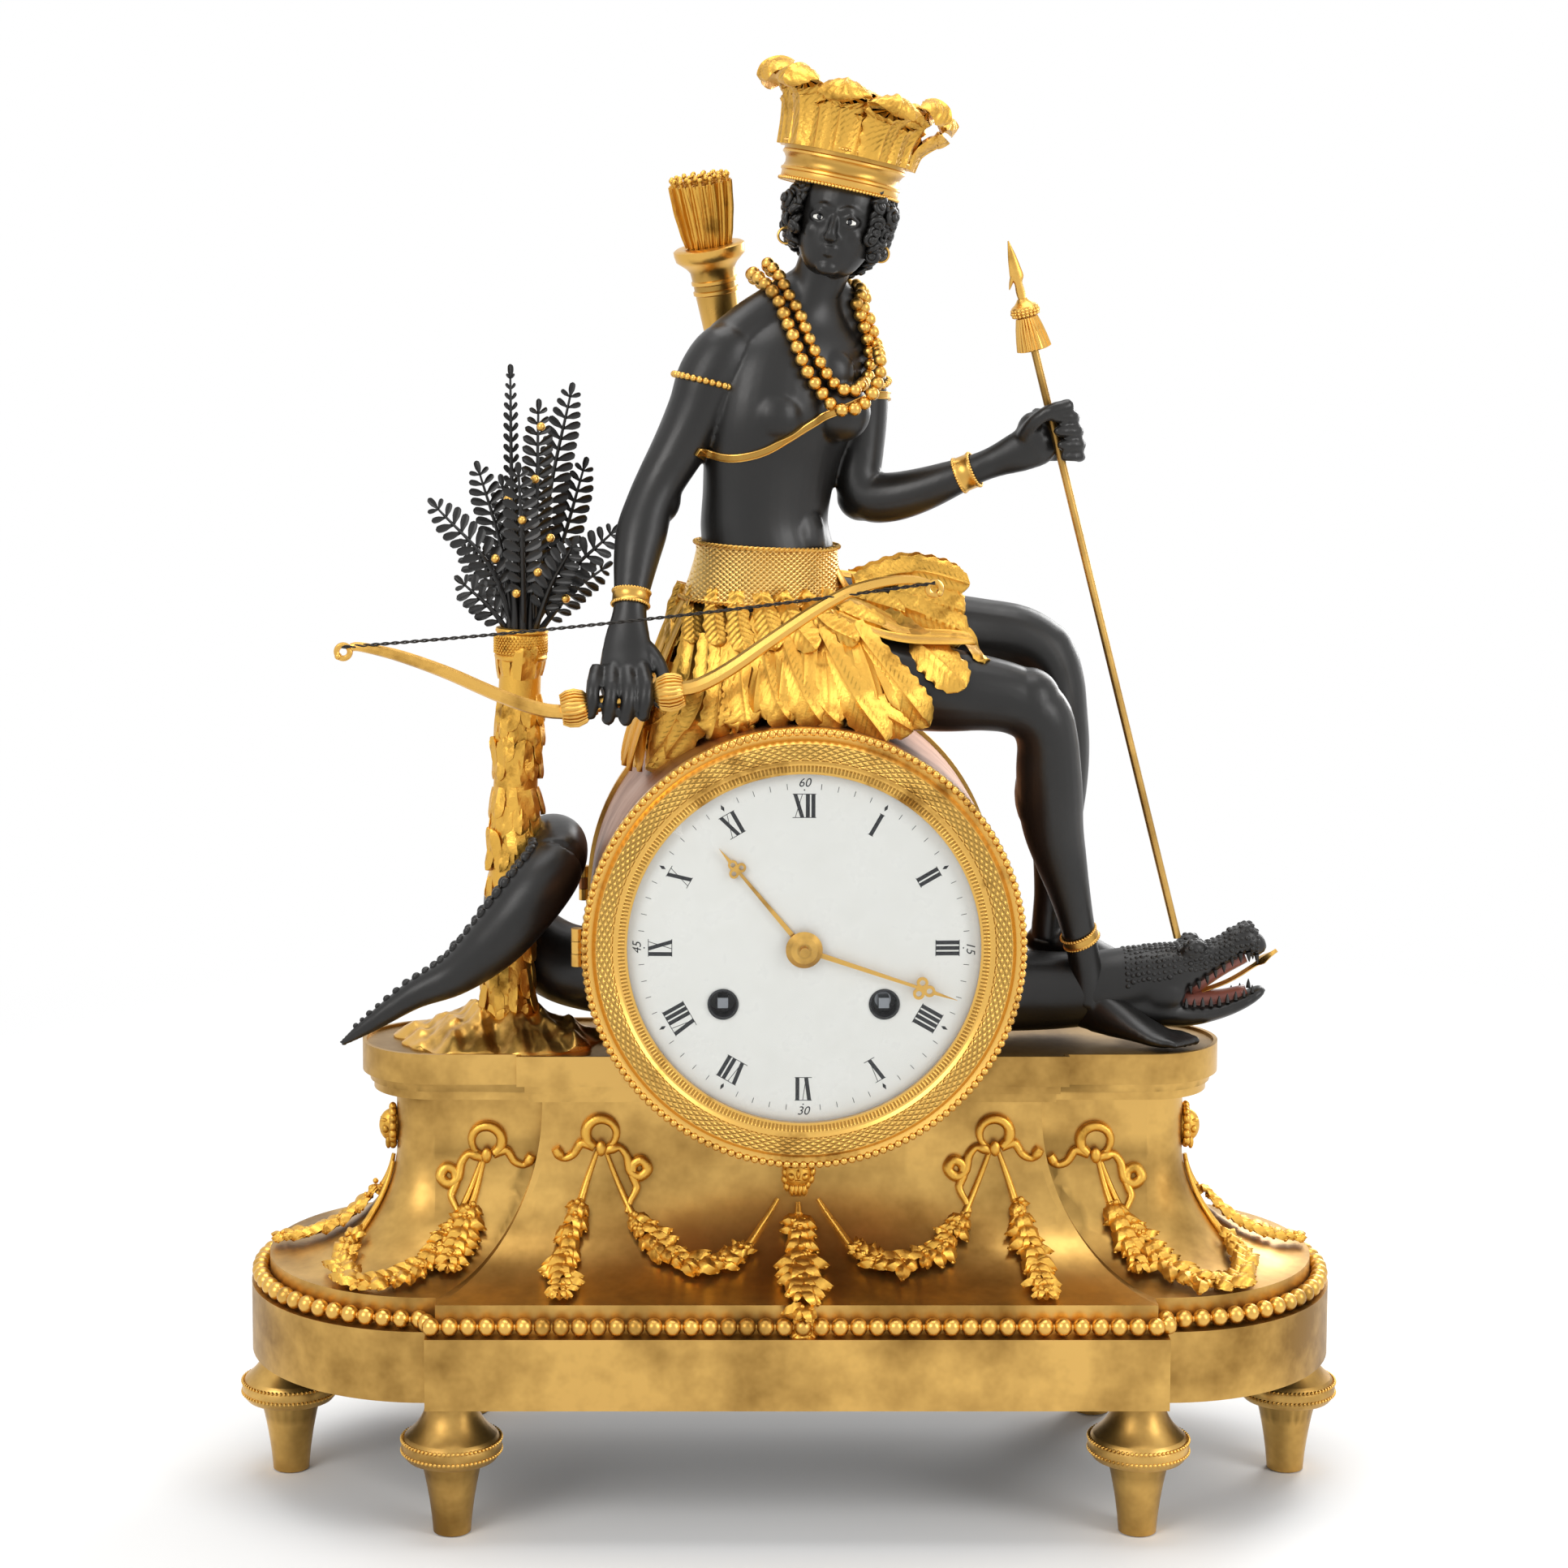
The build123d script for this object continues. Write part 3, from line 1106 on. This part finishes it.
def largest(shape):
    """The largest solid of a cut shape."""
    return sorted(shape.solids(), key=lambda solid: solid.volume)[-1]


def figure_torso():
    body = trunk_solid()
    for share in BREAST_SHARES:
        body += ball(*share)
    return body - drum_room(GAP)


def figure_head():
    head = stack(HEAD_SHARES)
    for share in HAIR_SHARES:
        head += ball(*share)
    return head


def leg_solid(leg_shares, foot_shares, floor):
    leg = tube(limb_rows(leg_shares), Vector(0.1, 1, 0.1))
    foot = tube(limb_rows(foot_shares), Vector(0, 0, 1))
    block = Box(4 * FIGURE, 4 * FIGURE, FIGURE, align=(Align.CENTER, Align.CENTER, Align.MAX))
    return leg + foot - Pos(0, 0, floor) * block


def figure_pieces(bow_solid, spear_solid):
    """The figure's castings, each cut where its neighbour begins, the hands round what they hold."""
    torso = figure_torso()
    right_leg = largest(leg_solid(RIGHT_LEG_SHARES, RIGHT_FOOT_SHARES, FLOOR_Z) - torso - drum_room(GAP))
    right_leg = largest(right_leg - platform())
    left_leg = largest(leg_solid(LEFT_LEG_SHARES, LEFT_FOOT_SHARES, FLOOR_Z) - torso - right_leg - drum_room(GAP))
    right_arm = largest(tube(limb_rows(RIGHT_ARM_SHARES), Vector(0.1, 1, 0)) - torso - bow_solid)
    left_arm = largest(tube(limb_rows(LEFT_ARM_SHARES), Vector(0.1, 1, 0)) - torso - spear_solid)
    head = figure_head() - torso
    return {"figure_torso": torso, "figure_head": head, "arm_right": right_arm, "arm_left": left_arm,
            "leg_right": right_leg, "leg_left": left_leg}


# The crown sits on the head with a slight lean
CROWN_SHARE = (0.125, -0.045, 1.69)
CROWN_LEAN = 12.0
CROWN_R = 19.2
CROWN_TOP_R = 20.6
CROWN_H = 12.0
CROWN_WALL = 2.0
PLUME_H = 28.0
PLUME_R = 29.0
PLUME_COUNT = 14


def crown_place():
    return Pos(on_figure(*CROWN_SHARE)) * Rot(0, CROWN_LEAN, 0)


def crown_band(head):
    waist = 0.96 * CROWN_R
    outer = [(0, 0), (CROWN_R, 0), (CROWN_R, 0.18 * CROWN_H), (waist, 0.42 * CROWN_H), (waist, 0.58 * CROWN_H),
             (CROWN_TOP_R, 0.84 * CROWN_H), (CROWN_TOP_R, CROWN_H), (0, CROWN_H)]
    cap = revolve(Plane.XZ * make_face(Polyline(*outer, close=True)), Axis.Z)
    room = Pos(0, 0, -OVER) * extrude(Circle(waist - CROWN_WALL), amount=CROWN_H - CROWN_WALL + OVER)
    return crown_place() * (cap - room) - head


def crown_feathers():
    """A ring of upright plumes whose tips curl outward."""
    wall = 0.3 * CROWN_R
    points_in = [(CROWN_TOP_R - wall, 0), (CROWN_TOP_R - 0.8 * wall, 0.6 * PLUME_H), (PLUME_R - 1.2 * wall, 0.9 * PLUME_H)]
    points_out = [(0.98 * CROWN_TOP_R, 0), (1.02 * CROWN_TOP_R, 0.5 * PLUME_H), (PLUME_R - 0.3 * wall, 0.82 * PLUME_H),
                  (PLUME_R, PLUME_H)]
    inner = Spline(*points_in)
    outer = Spline(*points_out)
    edges = Line(inner @ 0, outer @ 0) + Line(inner @ 1, outer @ 1)
    ring = revolve(Plane.XZ * make_face(inner + outer + edges), Axis.Z)
    notch_r = 0.5 * pi * PLUME_R / PLUME_COUNT
    for index in range(PLUME_COUNT):
        notch = Pos(PLUME_R, 0, PLUME_H) * Rot(0, 90, 0) * Cylinder(notch_r / 2, 3 * wall, rotation=(0, 0, 0))
        ring -= Rot(0, 0, 360 * (index + 0.5) / PLUME_COUNT) * notch
    return crown_place() * (Pos(0, 0, CROWN_H) * ring)


def ring_round(centre, along, radius, thick, squash=1.0):
    shape = scale(Torus(radius, thick), by=(1, squash, 1)) if squash != 1.0 else Torus(radius, thick)
    return Plane(origin=centre, z_dir=along) * shape


EARRING_SHARES = [(-0.065, 1.555), (0.262, 1.515)]
EARRING_T = 0.5
# Each strand of the necklace: reach, height and how far forward
NECKLACE_SHARES = [(0.215, 1.145, -0.135), (0.190, 1.185, -0.115)]
NECKLACE_T = 1.7


def earrings(head):
    group = Part()
    for x, z in EARRING_SHARES:
        group += ring_round(on_figure(x, -0.07, z), Vector(0.2, 1, 0), 0.026 * FIGURE, EARRING_T)
    return group - head


def necklace(bodies):
    """Two strands of beads, as their outer form, round the neck and over the chest."""
    group = Part()
    for reach, height, forward in NECKLACE_SHARES:
        centre = on_figure(0.035, forward, height)
        group += ring_round(centre, Vector(-0.12, 0.78, 0.62), reach * FIGURE, NECKLACE_T, 1.45)
    for solid in bodies:
        group -= solid
    return group


BANGLE_T = 1.0
BANGLE_OUT = 0.4
# Each ring: the limb's table, the station it sits at, and its thickness as a share of the plain one
BANGLE_SHARES = [(RIGHT_ARM_SHARES, 2, 1.0), (RIGHT_ARM_SHARES, 7, 1.0), (LEFT_ARM_SHARES, 2, 1.0),
                 (LEFT_ARM_SHARES, 7, 1.2), (RIGHT_LEG_SHARES, 9, 1.4)]


def bangles(bodies):
    """Beaded armlets, bracelets and an anklet, each round its limb."""
    group = Part()
    for shares, index, grow in BANGLE_SHARES:
        x, y, z, wide, deep = shares[index]
        before = on_figure(*shares[index - 1][:3])
        after = on_figure(*shares[index + 1][:3])
        group += ring_round(on_figure(x, y, z), after - before, FIGURE * max(wide, deep) + BANGLE_OUT, grow * BANGLE_T)
    for solid in bodies:
        group -= solid
    return group


BELT_LOW = 0.355
BELT_TOP = 0.525
BELT_T = 2.2


def belt(torso, left_leg):
    low = on_figure(0, 0, BELT_LOW)
    height = (BELT_TOP - BELT_LOW) * FIGURE
    block = Pos(low) * Rot(0, 3, 0) * Box(FIGURE, FIGURE, height, align=(Align.CENTER, Align.CENTER, Align.MIN))
    return largest((trunk_solid(BELT_T) & block) - torso - left_leg)


SKIRT_SHARES = [
    (-0.10, 0.00, 0.352, 0.285, 0.265, 0),
    (-0.03, -0.01, 0.25, 0.400, 0.345, 0),
    (0.06, -0.02, 0.08, 0.540, 0.420, 0),
    (0.04, -0.02, -0.10, 0.560, 0.430, 0),
    (0.00, -0.02, -0.22, 0.520, 0.430, 0),
]


def feather_skirt(pieces):
    """The feather skirt's outer form, spread over the drum and the thighs."""
    cloth = largest(stack(SKIRT_SHARES) - drum_room(GAP))
    for piece in pieces:
        cloth = largest(cloth - piece)
    return cloth


QUIVER_SHARES = [(-0.200, 0.245, 0.98), (-0.29, 0.17, 1.50), (-0.325, 0.13, 1.745)]
QUIVER_LUG_R = 2.4
QUIVER_R = 7.4
LUG_SHARE = (-0.06, 0, 0.98)
FLANGE_T = 2.4
SLING_SHARE = (-0.03, 0, 0.90)
SLING_W = 2.6
SLING_T = 1.1


def quiver(torso, others):
    """Quiver with a flanged mouth full of arrows, and its strap across the chest."""
    foot, mouth, tips = [on_figure(*share) for share in QUIVER_SHARES]
    along = (mouth - foot).normalized()
    body = tube([(foot, 0.7 * QUIVER_R, 0.7 * QUIVER_R), ((foot + mouth) * 0.5, 0.92 * QUIVER_R, 0.92 * QUIVER_R),
                 (mouth, QUIVER_R, QUIVER_R)])
    flange = rod(mouth - along * FLANGE_T, mouth + along * FLANGE_T, 1.6 * QUIVER_R)
    bundle = rod(mouth, tips, 1.36 * QUIVER_R)
    lug = rod(foot + along * QUIVER_R, on_figure(*LUG_SHARE), QUIVER_LUG_R)
    case = largest(body + flange + bundle + lug - torso)
    slab_plane = Plane(origin=on_figure(*SLING_SHARE), x_dir=(0.86, 0, 0.42), z_dir=(-0.44, 0.0, 0.90))
    strip = slab_plane * Box(FIGURE, FIGURE, SLING_W)
    strap = (trunk_solid(SLING_T) & strip) - torso
    strap -= case
    for solid in others:
        strap -= solid
    return case + strap


# The bow: its limbs as shares of the figure's unit, from the left tip to the right
BOW_SHARES = [
    (-1.482, -0.515, 0.234, 0.016), (-1.400, -0.49, 0.240, 0.020), (-1.265, -0.48, 0.215, 0.022),
    (-1.110, -0.47, 0.160, 0.022), (-0.956, -0.46, 0.095, 0.024), (-0.840, -0.45, 0.055, 0.024),
    (-0.720, -0.44, 0.046, 0.024), (-0.575, -0.44, 0.078, 0.022), (-0.430, -0.44, 0.108, 0.024),
    (-0.335, -0.45, 0.128, 0.026), (-0.225, -0.46, 0.185, 0.026), (-0.100, -0.47, 0.273, 0.024),
    (0.030, -0.48, 0.362, 0.022), (0.185, -0.49, 0.436, 0.020), (0.310, -0.49, 0.456, 0.018),
    (0.410, -0.515, 0.446, 0.016),
]
ACORN_SHARES = [(-0.715, -0.44, 0.050), (-0.430, -0.44, 0.110)]
STRING_SHARES = [(-1.478, -0.527, 0.240), (0.406, -0.527, 0.450)]
ACORN_R = 5.6
STRING_R = 0.45


def bow():
    rows = [(on_figure(x, y, z), FIGURE * thick, 1.25 * FIGURE * thick) for x, y, z, thick in BOW_SHARES]
    limbs = tube(rows, Vector(0, 1, 0))
    for share in ACORN_SHARES:
        limbs += egg(on_figure(*share), (1, 0, 0.2), 0.9 * ACORN_R, 1.2 * ACORN_R)
    return limbs


def bow_string(bow_solid):
    start, end = [on_figure(*share) for share in STRING_SHARES]
    return largest(rod(start, end, STRING_R) - bow_solid)


SPEAR_FOOT_SHARE = (1.274, 0.03, -0.775)
SPEAR_TIP_SHARE = (0.663, -0.18, 1.529)
SPEAR_R = 1.25
BLADE_L = 20.0
TASSEL_L = 15.0
TASSEL_R = 5.4
BLADE_W = 2.6
# Stations down the tassel and up the blade: place and half widths
TASSEL_SHARES = [(1.0, 1.0), (0.33, 0.59), (0.24, 0.63), (0.10, 0.81), (0.0, 0.37)]
BLADE_SHARES = [(-0.05, 0.46, 0.46), (0.15, 0.54, 0.35), (0.40, 1.0, 0.31), (0.70, 0.62, 0.23), (1.0, 0.12, 0.08)]


def spear():
    """Shaft with a tassel and knob under the leaf blade."""
    foot = on_figure(*SPEAR_FOOT_SHARE)
    tip = on_figure(*SPEAR_TIP_SHARE)
    along = (tip - foot).normalized()
    neck = tip - along * BLADE_L
    shaft = rod(foot, neck, SPEAR_R)
    tassel = tube([(neck - along * TASSEL_L * run, TASSEL_R * wide, TASSEL_R * wide) for run, wide in TASSEL_SHARES])
    blade = tube([(neck + along * BLADE_L * run, BLADE_W * wide, BLADE_W * deep) for run, wide, deep in BLADE_SHARES])
    return shaft + tassel + blade


# The reptile: stations from the platform's floor under the drum's middle, as shares of the figure's unit
FOREPART_SHARES = [
    (0.600, 0.06, 0.155, 0.130, 0.140),
    (0.800, 0.07, 0.150, 0.125, 0.135),
    (1.000, 0.07, 0.150, 0.122, 0.125),
    (1.140, 0.06, 0.185, 0.120, 0.125),
    (1.250, 0.05, 0.240, 0.110, 0.110),
    (1.330, 0.04, 0.265, 0.085, 0.080),
    (1.420, 0.04, 0.300, 0.060, 0.048),
    (1.490, 0.04, 0.335, 0.056, 0.046),
    (1.540, 0.04, 0.350, 0.040, 0.034),
]
JAW_SHARES = [
    (1.120, 0.05, 0.110, 0.090, 0.060),
    (1.260, 0.05, 0.085, 0.080, 0.050),
    (1.400, 0.04, 0.095, 0.062, 0.034),
    (1.530, 0.04, 0.120, 0.050, 0.026),
    (1.570, 0.04, 0.125, 0.030, 0.018),
]
TAIL_SHARES = [
    (-0.600, 0.10, 0.200, 0.140, 0.150),
    (-0.800, 0.16, 0.235, 0.130, 0.140),
    (-0.930, 0.215, 0.350, 0.115, 0.115),
    (-0.930, 0.225, 0.510, 0.105, 0.105),
    (-0.850, 0.15, 0.620, 0.100, 0.100),
    (-0.795, 0.02, 0.655, 0.098, 0.098),
    (-0.800, -0.12, 0.610, 0.100, 0.100),
    (-0.870, -0.20, 0.520, 0.104, 0.100),
    (-0.990, -0.21, 0.380, 0.096, 0.092),
    (-1.120, -0.20, 0.265, 0.070, 0.066),
    (-1.260, -0.20, 0.195, 0.048, 0.046),
    (-1.400, -0.20, 0.100, 0.030, 0.026),
    (-1.500, -0.20, 0.030, 0.010, 0.008),
]


def on_platform(x, y, z):
    return Vector(DRUM_X, 0, FLOOR_Z) + Vector(x, y, z) * FIGURE


def platform_rows(shares):
    return [(on_platform(x, y, z), FIGURE * wide, FIGURE * deep) for x, y, z, wide, deep in shares]


def above_floor(solid):
    block = Box(6 * FIGURE, 4 * FIGURE, FIGURE, align=(Align.CENTER, Align.CENTER, Align.MAX))
    return solid - Pos(0, 0, FLOOR_Z) * block


TONGUE_SHARES = [(1.22, 0.04, 0.17), (1.61, 0.03, 0.265)]
TONGUE_R = 0.9


def caiman_forepart(others):
    """Trunk, open jaws and tongue of the reptile at the right of the drum."""
    body = tube(platform_rows(FOREPART_SHARES), Vector(0, 0, 1))
    jaw = tube(platform_rows(JAW_SHARES), Vector(0, 0, 1))
    root, tip = [on_platform(*share) for share in TONGUE_SHARES]
    tongue = rod(root, tip, TONGUE_R)
    whole = largest(above_floor(body) - drum_room(GAP)) + above_floor(jaw) + tongue
    for solid in others:
        whole = largest(whole - solid)
    return whole


PALM_X = -95.0
PALM_FOOT_R = 8.8
PALM_TOP_R = 7.2
PALM_LEAN = 0.045      # how far the trunk leans to the right over its height
PALM_TOP = 276.0
COLLAR_H = 9.0
COLLAR_LIP = 1.3
COLLAR_ROUND = 1.0
COLLAR_EDGE = 1.5
RING_SWELL = 0.45
RING_COUNT = 8
MOUND_H = 13.0
MOUND_X = 34.0
MOUND_Y = 25.0
MOUND_SHIFT = 1.0


def palm_point(height):
    return Vector(PALM_X + PALM_LEAN * (height - FLOOR_Z), 0, height)


def palm_trunk():
    """Leaning trunk with a swelling at each ring of old leaf bases, and the collar."""
    rows = []
    for index in range(2 * RING_COUNT + 1):
        run = index / (2 * RING_COUNT)
        height = FLOOR_Z + run * (PALM_TOP - FLOOR_Z)
        radius = PALM_FOOT_R + (PALM_TOP_R - PALM_FOOT_R) * run + RING_SWELL * (1 if index % 2 else -0.55)
        rows.append((palm_point(height), radius, radius))
    trunk = tube(rows)
    top = palm_point(PALM_TOP)
    collar_r = PALM_TOP_R + COLLAR_LIP
    rim_r = collar_r - COLLAR_ROUND
    collar = tube([(top, rim_r, rim_r), (palm_point(PALM_TOP + COLLAR_EDGE), collar_r, collar_r),
                   (palm_point(PALM_TOP + COLLAR_H - COLLAR_EDGE), collar_r, collar_r),
                   (palm_point(PALM_TOP + COLLAR_H), rim_r, rim_r)])
    return trunk + collar - platform()


def caiman_tail(trunk):
    """The tail, wound round the palm from the drum's left side."""
    body = tube(platform_rows(TAIL_SHARES), Vector(0.3, 1, 0.5))
    return above_floor(body) - drum_room(GAP) - trunk


LEAFLET_L = 8.5
LEAFLET_W = 2.6
FROND_T = 1.3
LEAFLET_STEP = 8.4
STEM_R = 1.1
STEM_OUT = 1.5
BUNDLE_H = 16.0
FROND_L = 92.0
# Each frond: azimuth about the trunk, lean outward, and length
FROND_SHARES = [(200, 10, 1.0), (20, 8, 0.85), (150, 26, 0.67), (330, 24, 0.72), (185, 38, 0.63), (0, 40, 0.61),
                (90, 18, 0.70), (270, 20, 0.65)]


def frond_outline(length):
    """A stem with pairs of leaflets, as one flat outline."""
    outline = make_face(Polyline((-STEM_R, 0), (-0.45 * STEM_R, length), (0.45 * STEM_R, length), (STEM_R, 0), close=True))
    pairs = int(length / LEAFLET_STEP) - 2
    for index in range(pairs):
        height = length * (0.30 + 0.66 * index / pairs)
        reach = LEAFLET_L * (1 - 0.45 * index / pairs)
        for side in (-1, 1):
            low = (side * 0.55 * reach, 0.30 * reach - 0.5 * LEAFLET_W)
            high = (side * 0.30 * reach, 0.45 * reach + 0.3 * LEAFLET_W)
            leaf = Polyline((0, -0.27 * STEM_R), low, (side * reach, 0.75 * reach), high, (0, 0.9 * STEM_R), close=True)
            outline += Pos(0, height) * make_face(leaf)
    return outline


def palm_fronds(trunk):
    """A bundle of stems in the collar from which the fronds spread."""
    base = palm_point(PALM_TOP + COLLAR_H)
    group = Pos(base) * Cone(0.86 * PALM_TOP_R, 0.45 * PALM_TOP_R, BUNDLE_H, align=(Align.CENTER, Align.CENTER, Align.MIN))
    for azimuth, lean, share in FROND_SHARES:
        blade = Pos(0, 0, -FROND_T / 2) * extrude(frond_outline(share * FROND_L), amount=FROND_T)
        upright = Rot(90, 0, 0) * blade
        group += Pos(base) * Rot(0, 0, azimuth) * Rot(0, lean, 0) * (Pos(STEM_OUT, 0, 0) * Rot(0, 0, 90) * upright)
    return group - trunk


def ground_mound(trunk, tail):
    """Rocky mound that the palm grows from, with a wavy rim."""
    sections = []
    for share, height in ((1.0, 0.0), (0.96, 0.28), (0.66, 0.62), (0.34, 1.0)):
        points = []
        for index in range(24):
            turn = 2 * pi * index / 24
            wave = 1 + 0.035 * sin(5 * turn) + 0.02 * sin(9 * turn + 1)
            points.append((MOUND_X * share * wave * cos(turn), MOUND_Y * share * wave * sin(turn)))
        outline = make_face(Spline(*points, periodic=True))
        sections.append(Pos(PALM_X - MOUND_SHIFT, 0, FLOOR_Z + MOUND_H * height) * outline)
    return loft(sections) - drum_room(GAP) - trunk - tail - platform()


def build():
    """Every node of the clock by its name."""
    nodes = {"base_skirt": base_skirt(), "base_plate": base_plate(), "base_body": base_body(),
             "platform": platform(), "bead_border": bead_border(), "base_bolts": base_bolts()}
    for name, places in foot_places().items():
        nodes[name] = foot_pair(places)
    nodes["front_garlands"] = front_garlands()
    nodes["end_garlands"] = end_garlands()
    nodes.update({"drum_case": drum_case(), "front_ring": front_ring(), "bezel": bezel(),
                  "bezel_glass": bezel_glass(), "dial": dial(), "back_ring": back_ring(),
                  "back_door": back_door(), "drum_straps": drum_straps()})
    nodes.update({"front_plate": front_plate(), "back_plate": back_plate(),
                  "going_barrel": barrel(GOING, SECOND), "strike_barrel": barrel(STRIKE, PIN),
                  "going_arbor": winding_arbor(GOING), "strike_arbor": winding_arbor(STRIKE),
                  "second_wheel": second_wheel(), "centre_wheel": centre_wheel(), "third_wheel": third_wheel(),
                  "escape_wheel": escape_wheel(), "anchor": anchor(), "pendulum": pendulum(),
                  "minute_wheel": minute_wheel(), "hour_wheel": hour_wheel(), "pin_wheel": pin_wheel(),
                  "hammer": hammer(), "bell": bell(), "hour_hand": hour_hand(), "minute_hand": minute_hand()})
    nodes["bow"] = bow()
    nodes["spear"] = spear()
    figure = figure_pieces(nodes["bow"], nodes["spear"])
    nodes.update(figure)
    torso = figure["figure_torso"]
    nodes["crown_band"] = crown_band(figure["figure_head"])
    nodes["crown_feathers"] = crown_feathers()
    nodes["earrings"] = earrings(figure["figure_head"])
    arms = [figure["arm_right"], figure["arm_left"]]
    legs = [figure["leg_right"], figure["leg_left"]]
    nodes["necklace"] = necklace([torso] + arms)
    nodes["bangles"] = bangles([torso, legs[0], nodes["necklace"]] + arms)
    nodes["belt"] = belt(torso, legs[1])
    nodes["feather_skirt"] = feather_skirt([torso, nodes["belt"]] + legs)
    nodes["quiver"] = quiver(torso, arms + [nodes["necklace"], nodes["bangles"]])
    nodes["bow_string"] = bow_string(nodes["bow"])
    nodes["caiman_forepart"] = caiman_forepart(legs + [nodes["spear"], nodes["bangles"]])
    nodes["palm_trunk"] = palm_trunk()
    nodes["caiman_tail"] = caiman_tail(nodes["palm_trunk"])
    nodes["palm_fronds"] = palm_fronds(nodes["palm_trunk"])
    nodes["ground_mound"] = ground_mound(nodes["palm_trunk"], nodes["caiman_tail"])
    return nodes


def main():
    os.makedirs("parts", exist_ok=True)
    for name, shape in build().items():
        export_step(shape, f"parts/{name}.step")


if __name__ == "__main__":
    main()
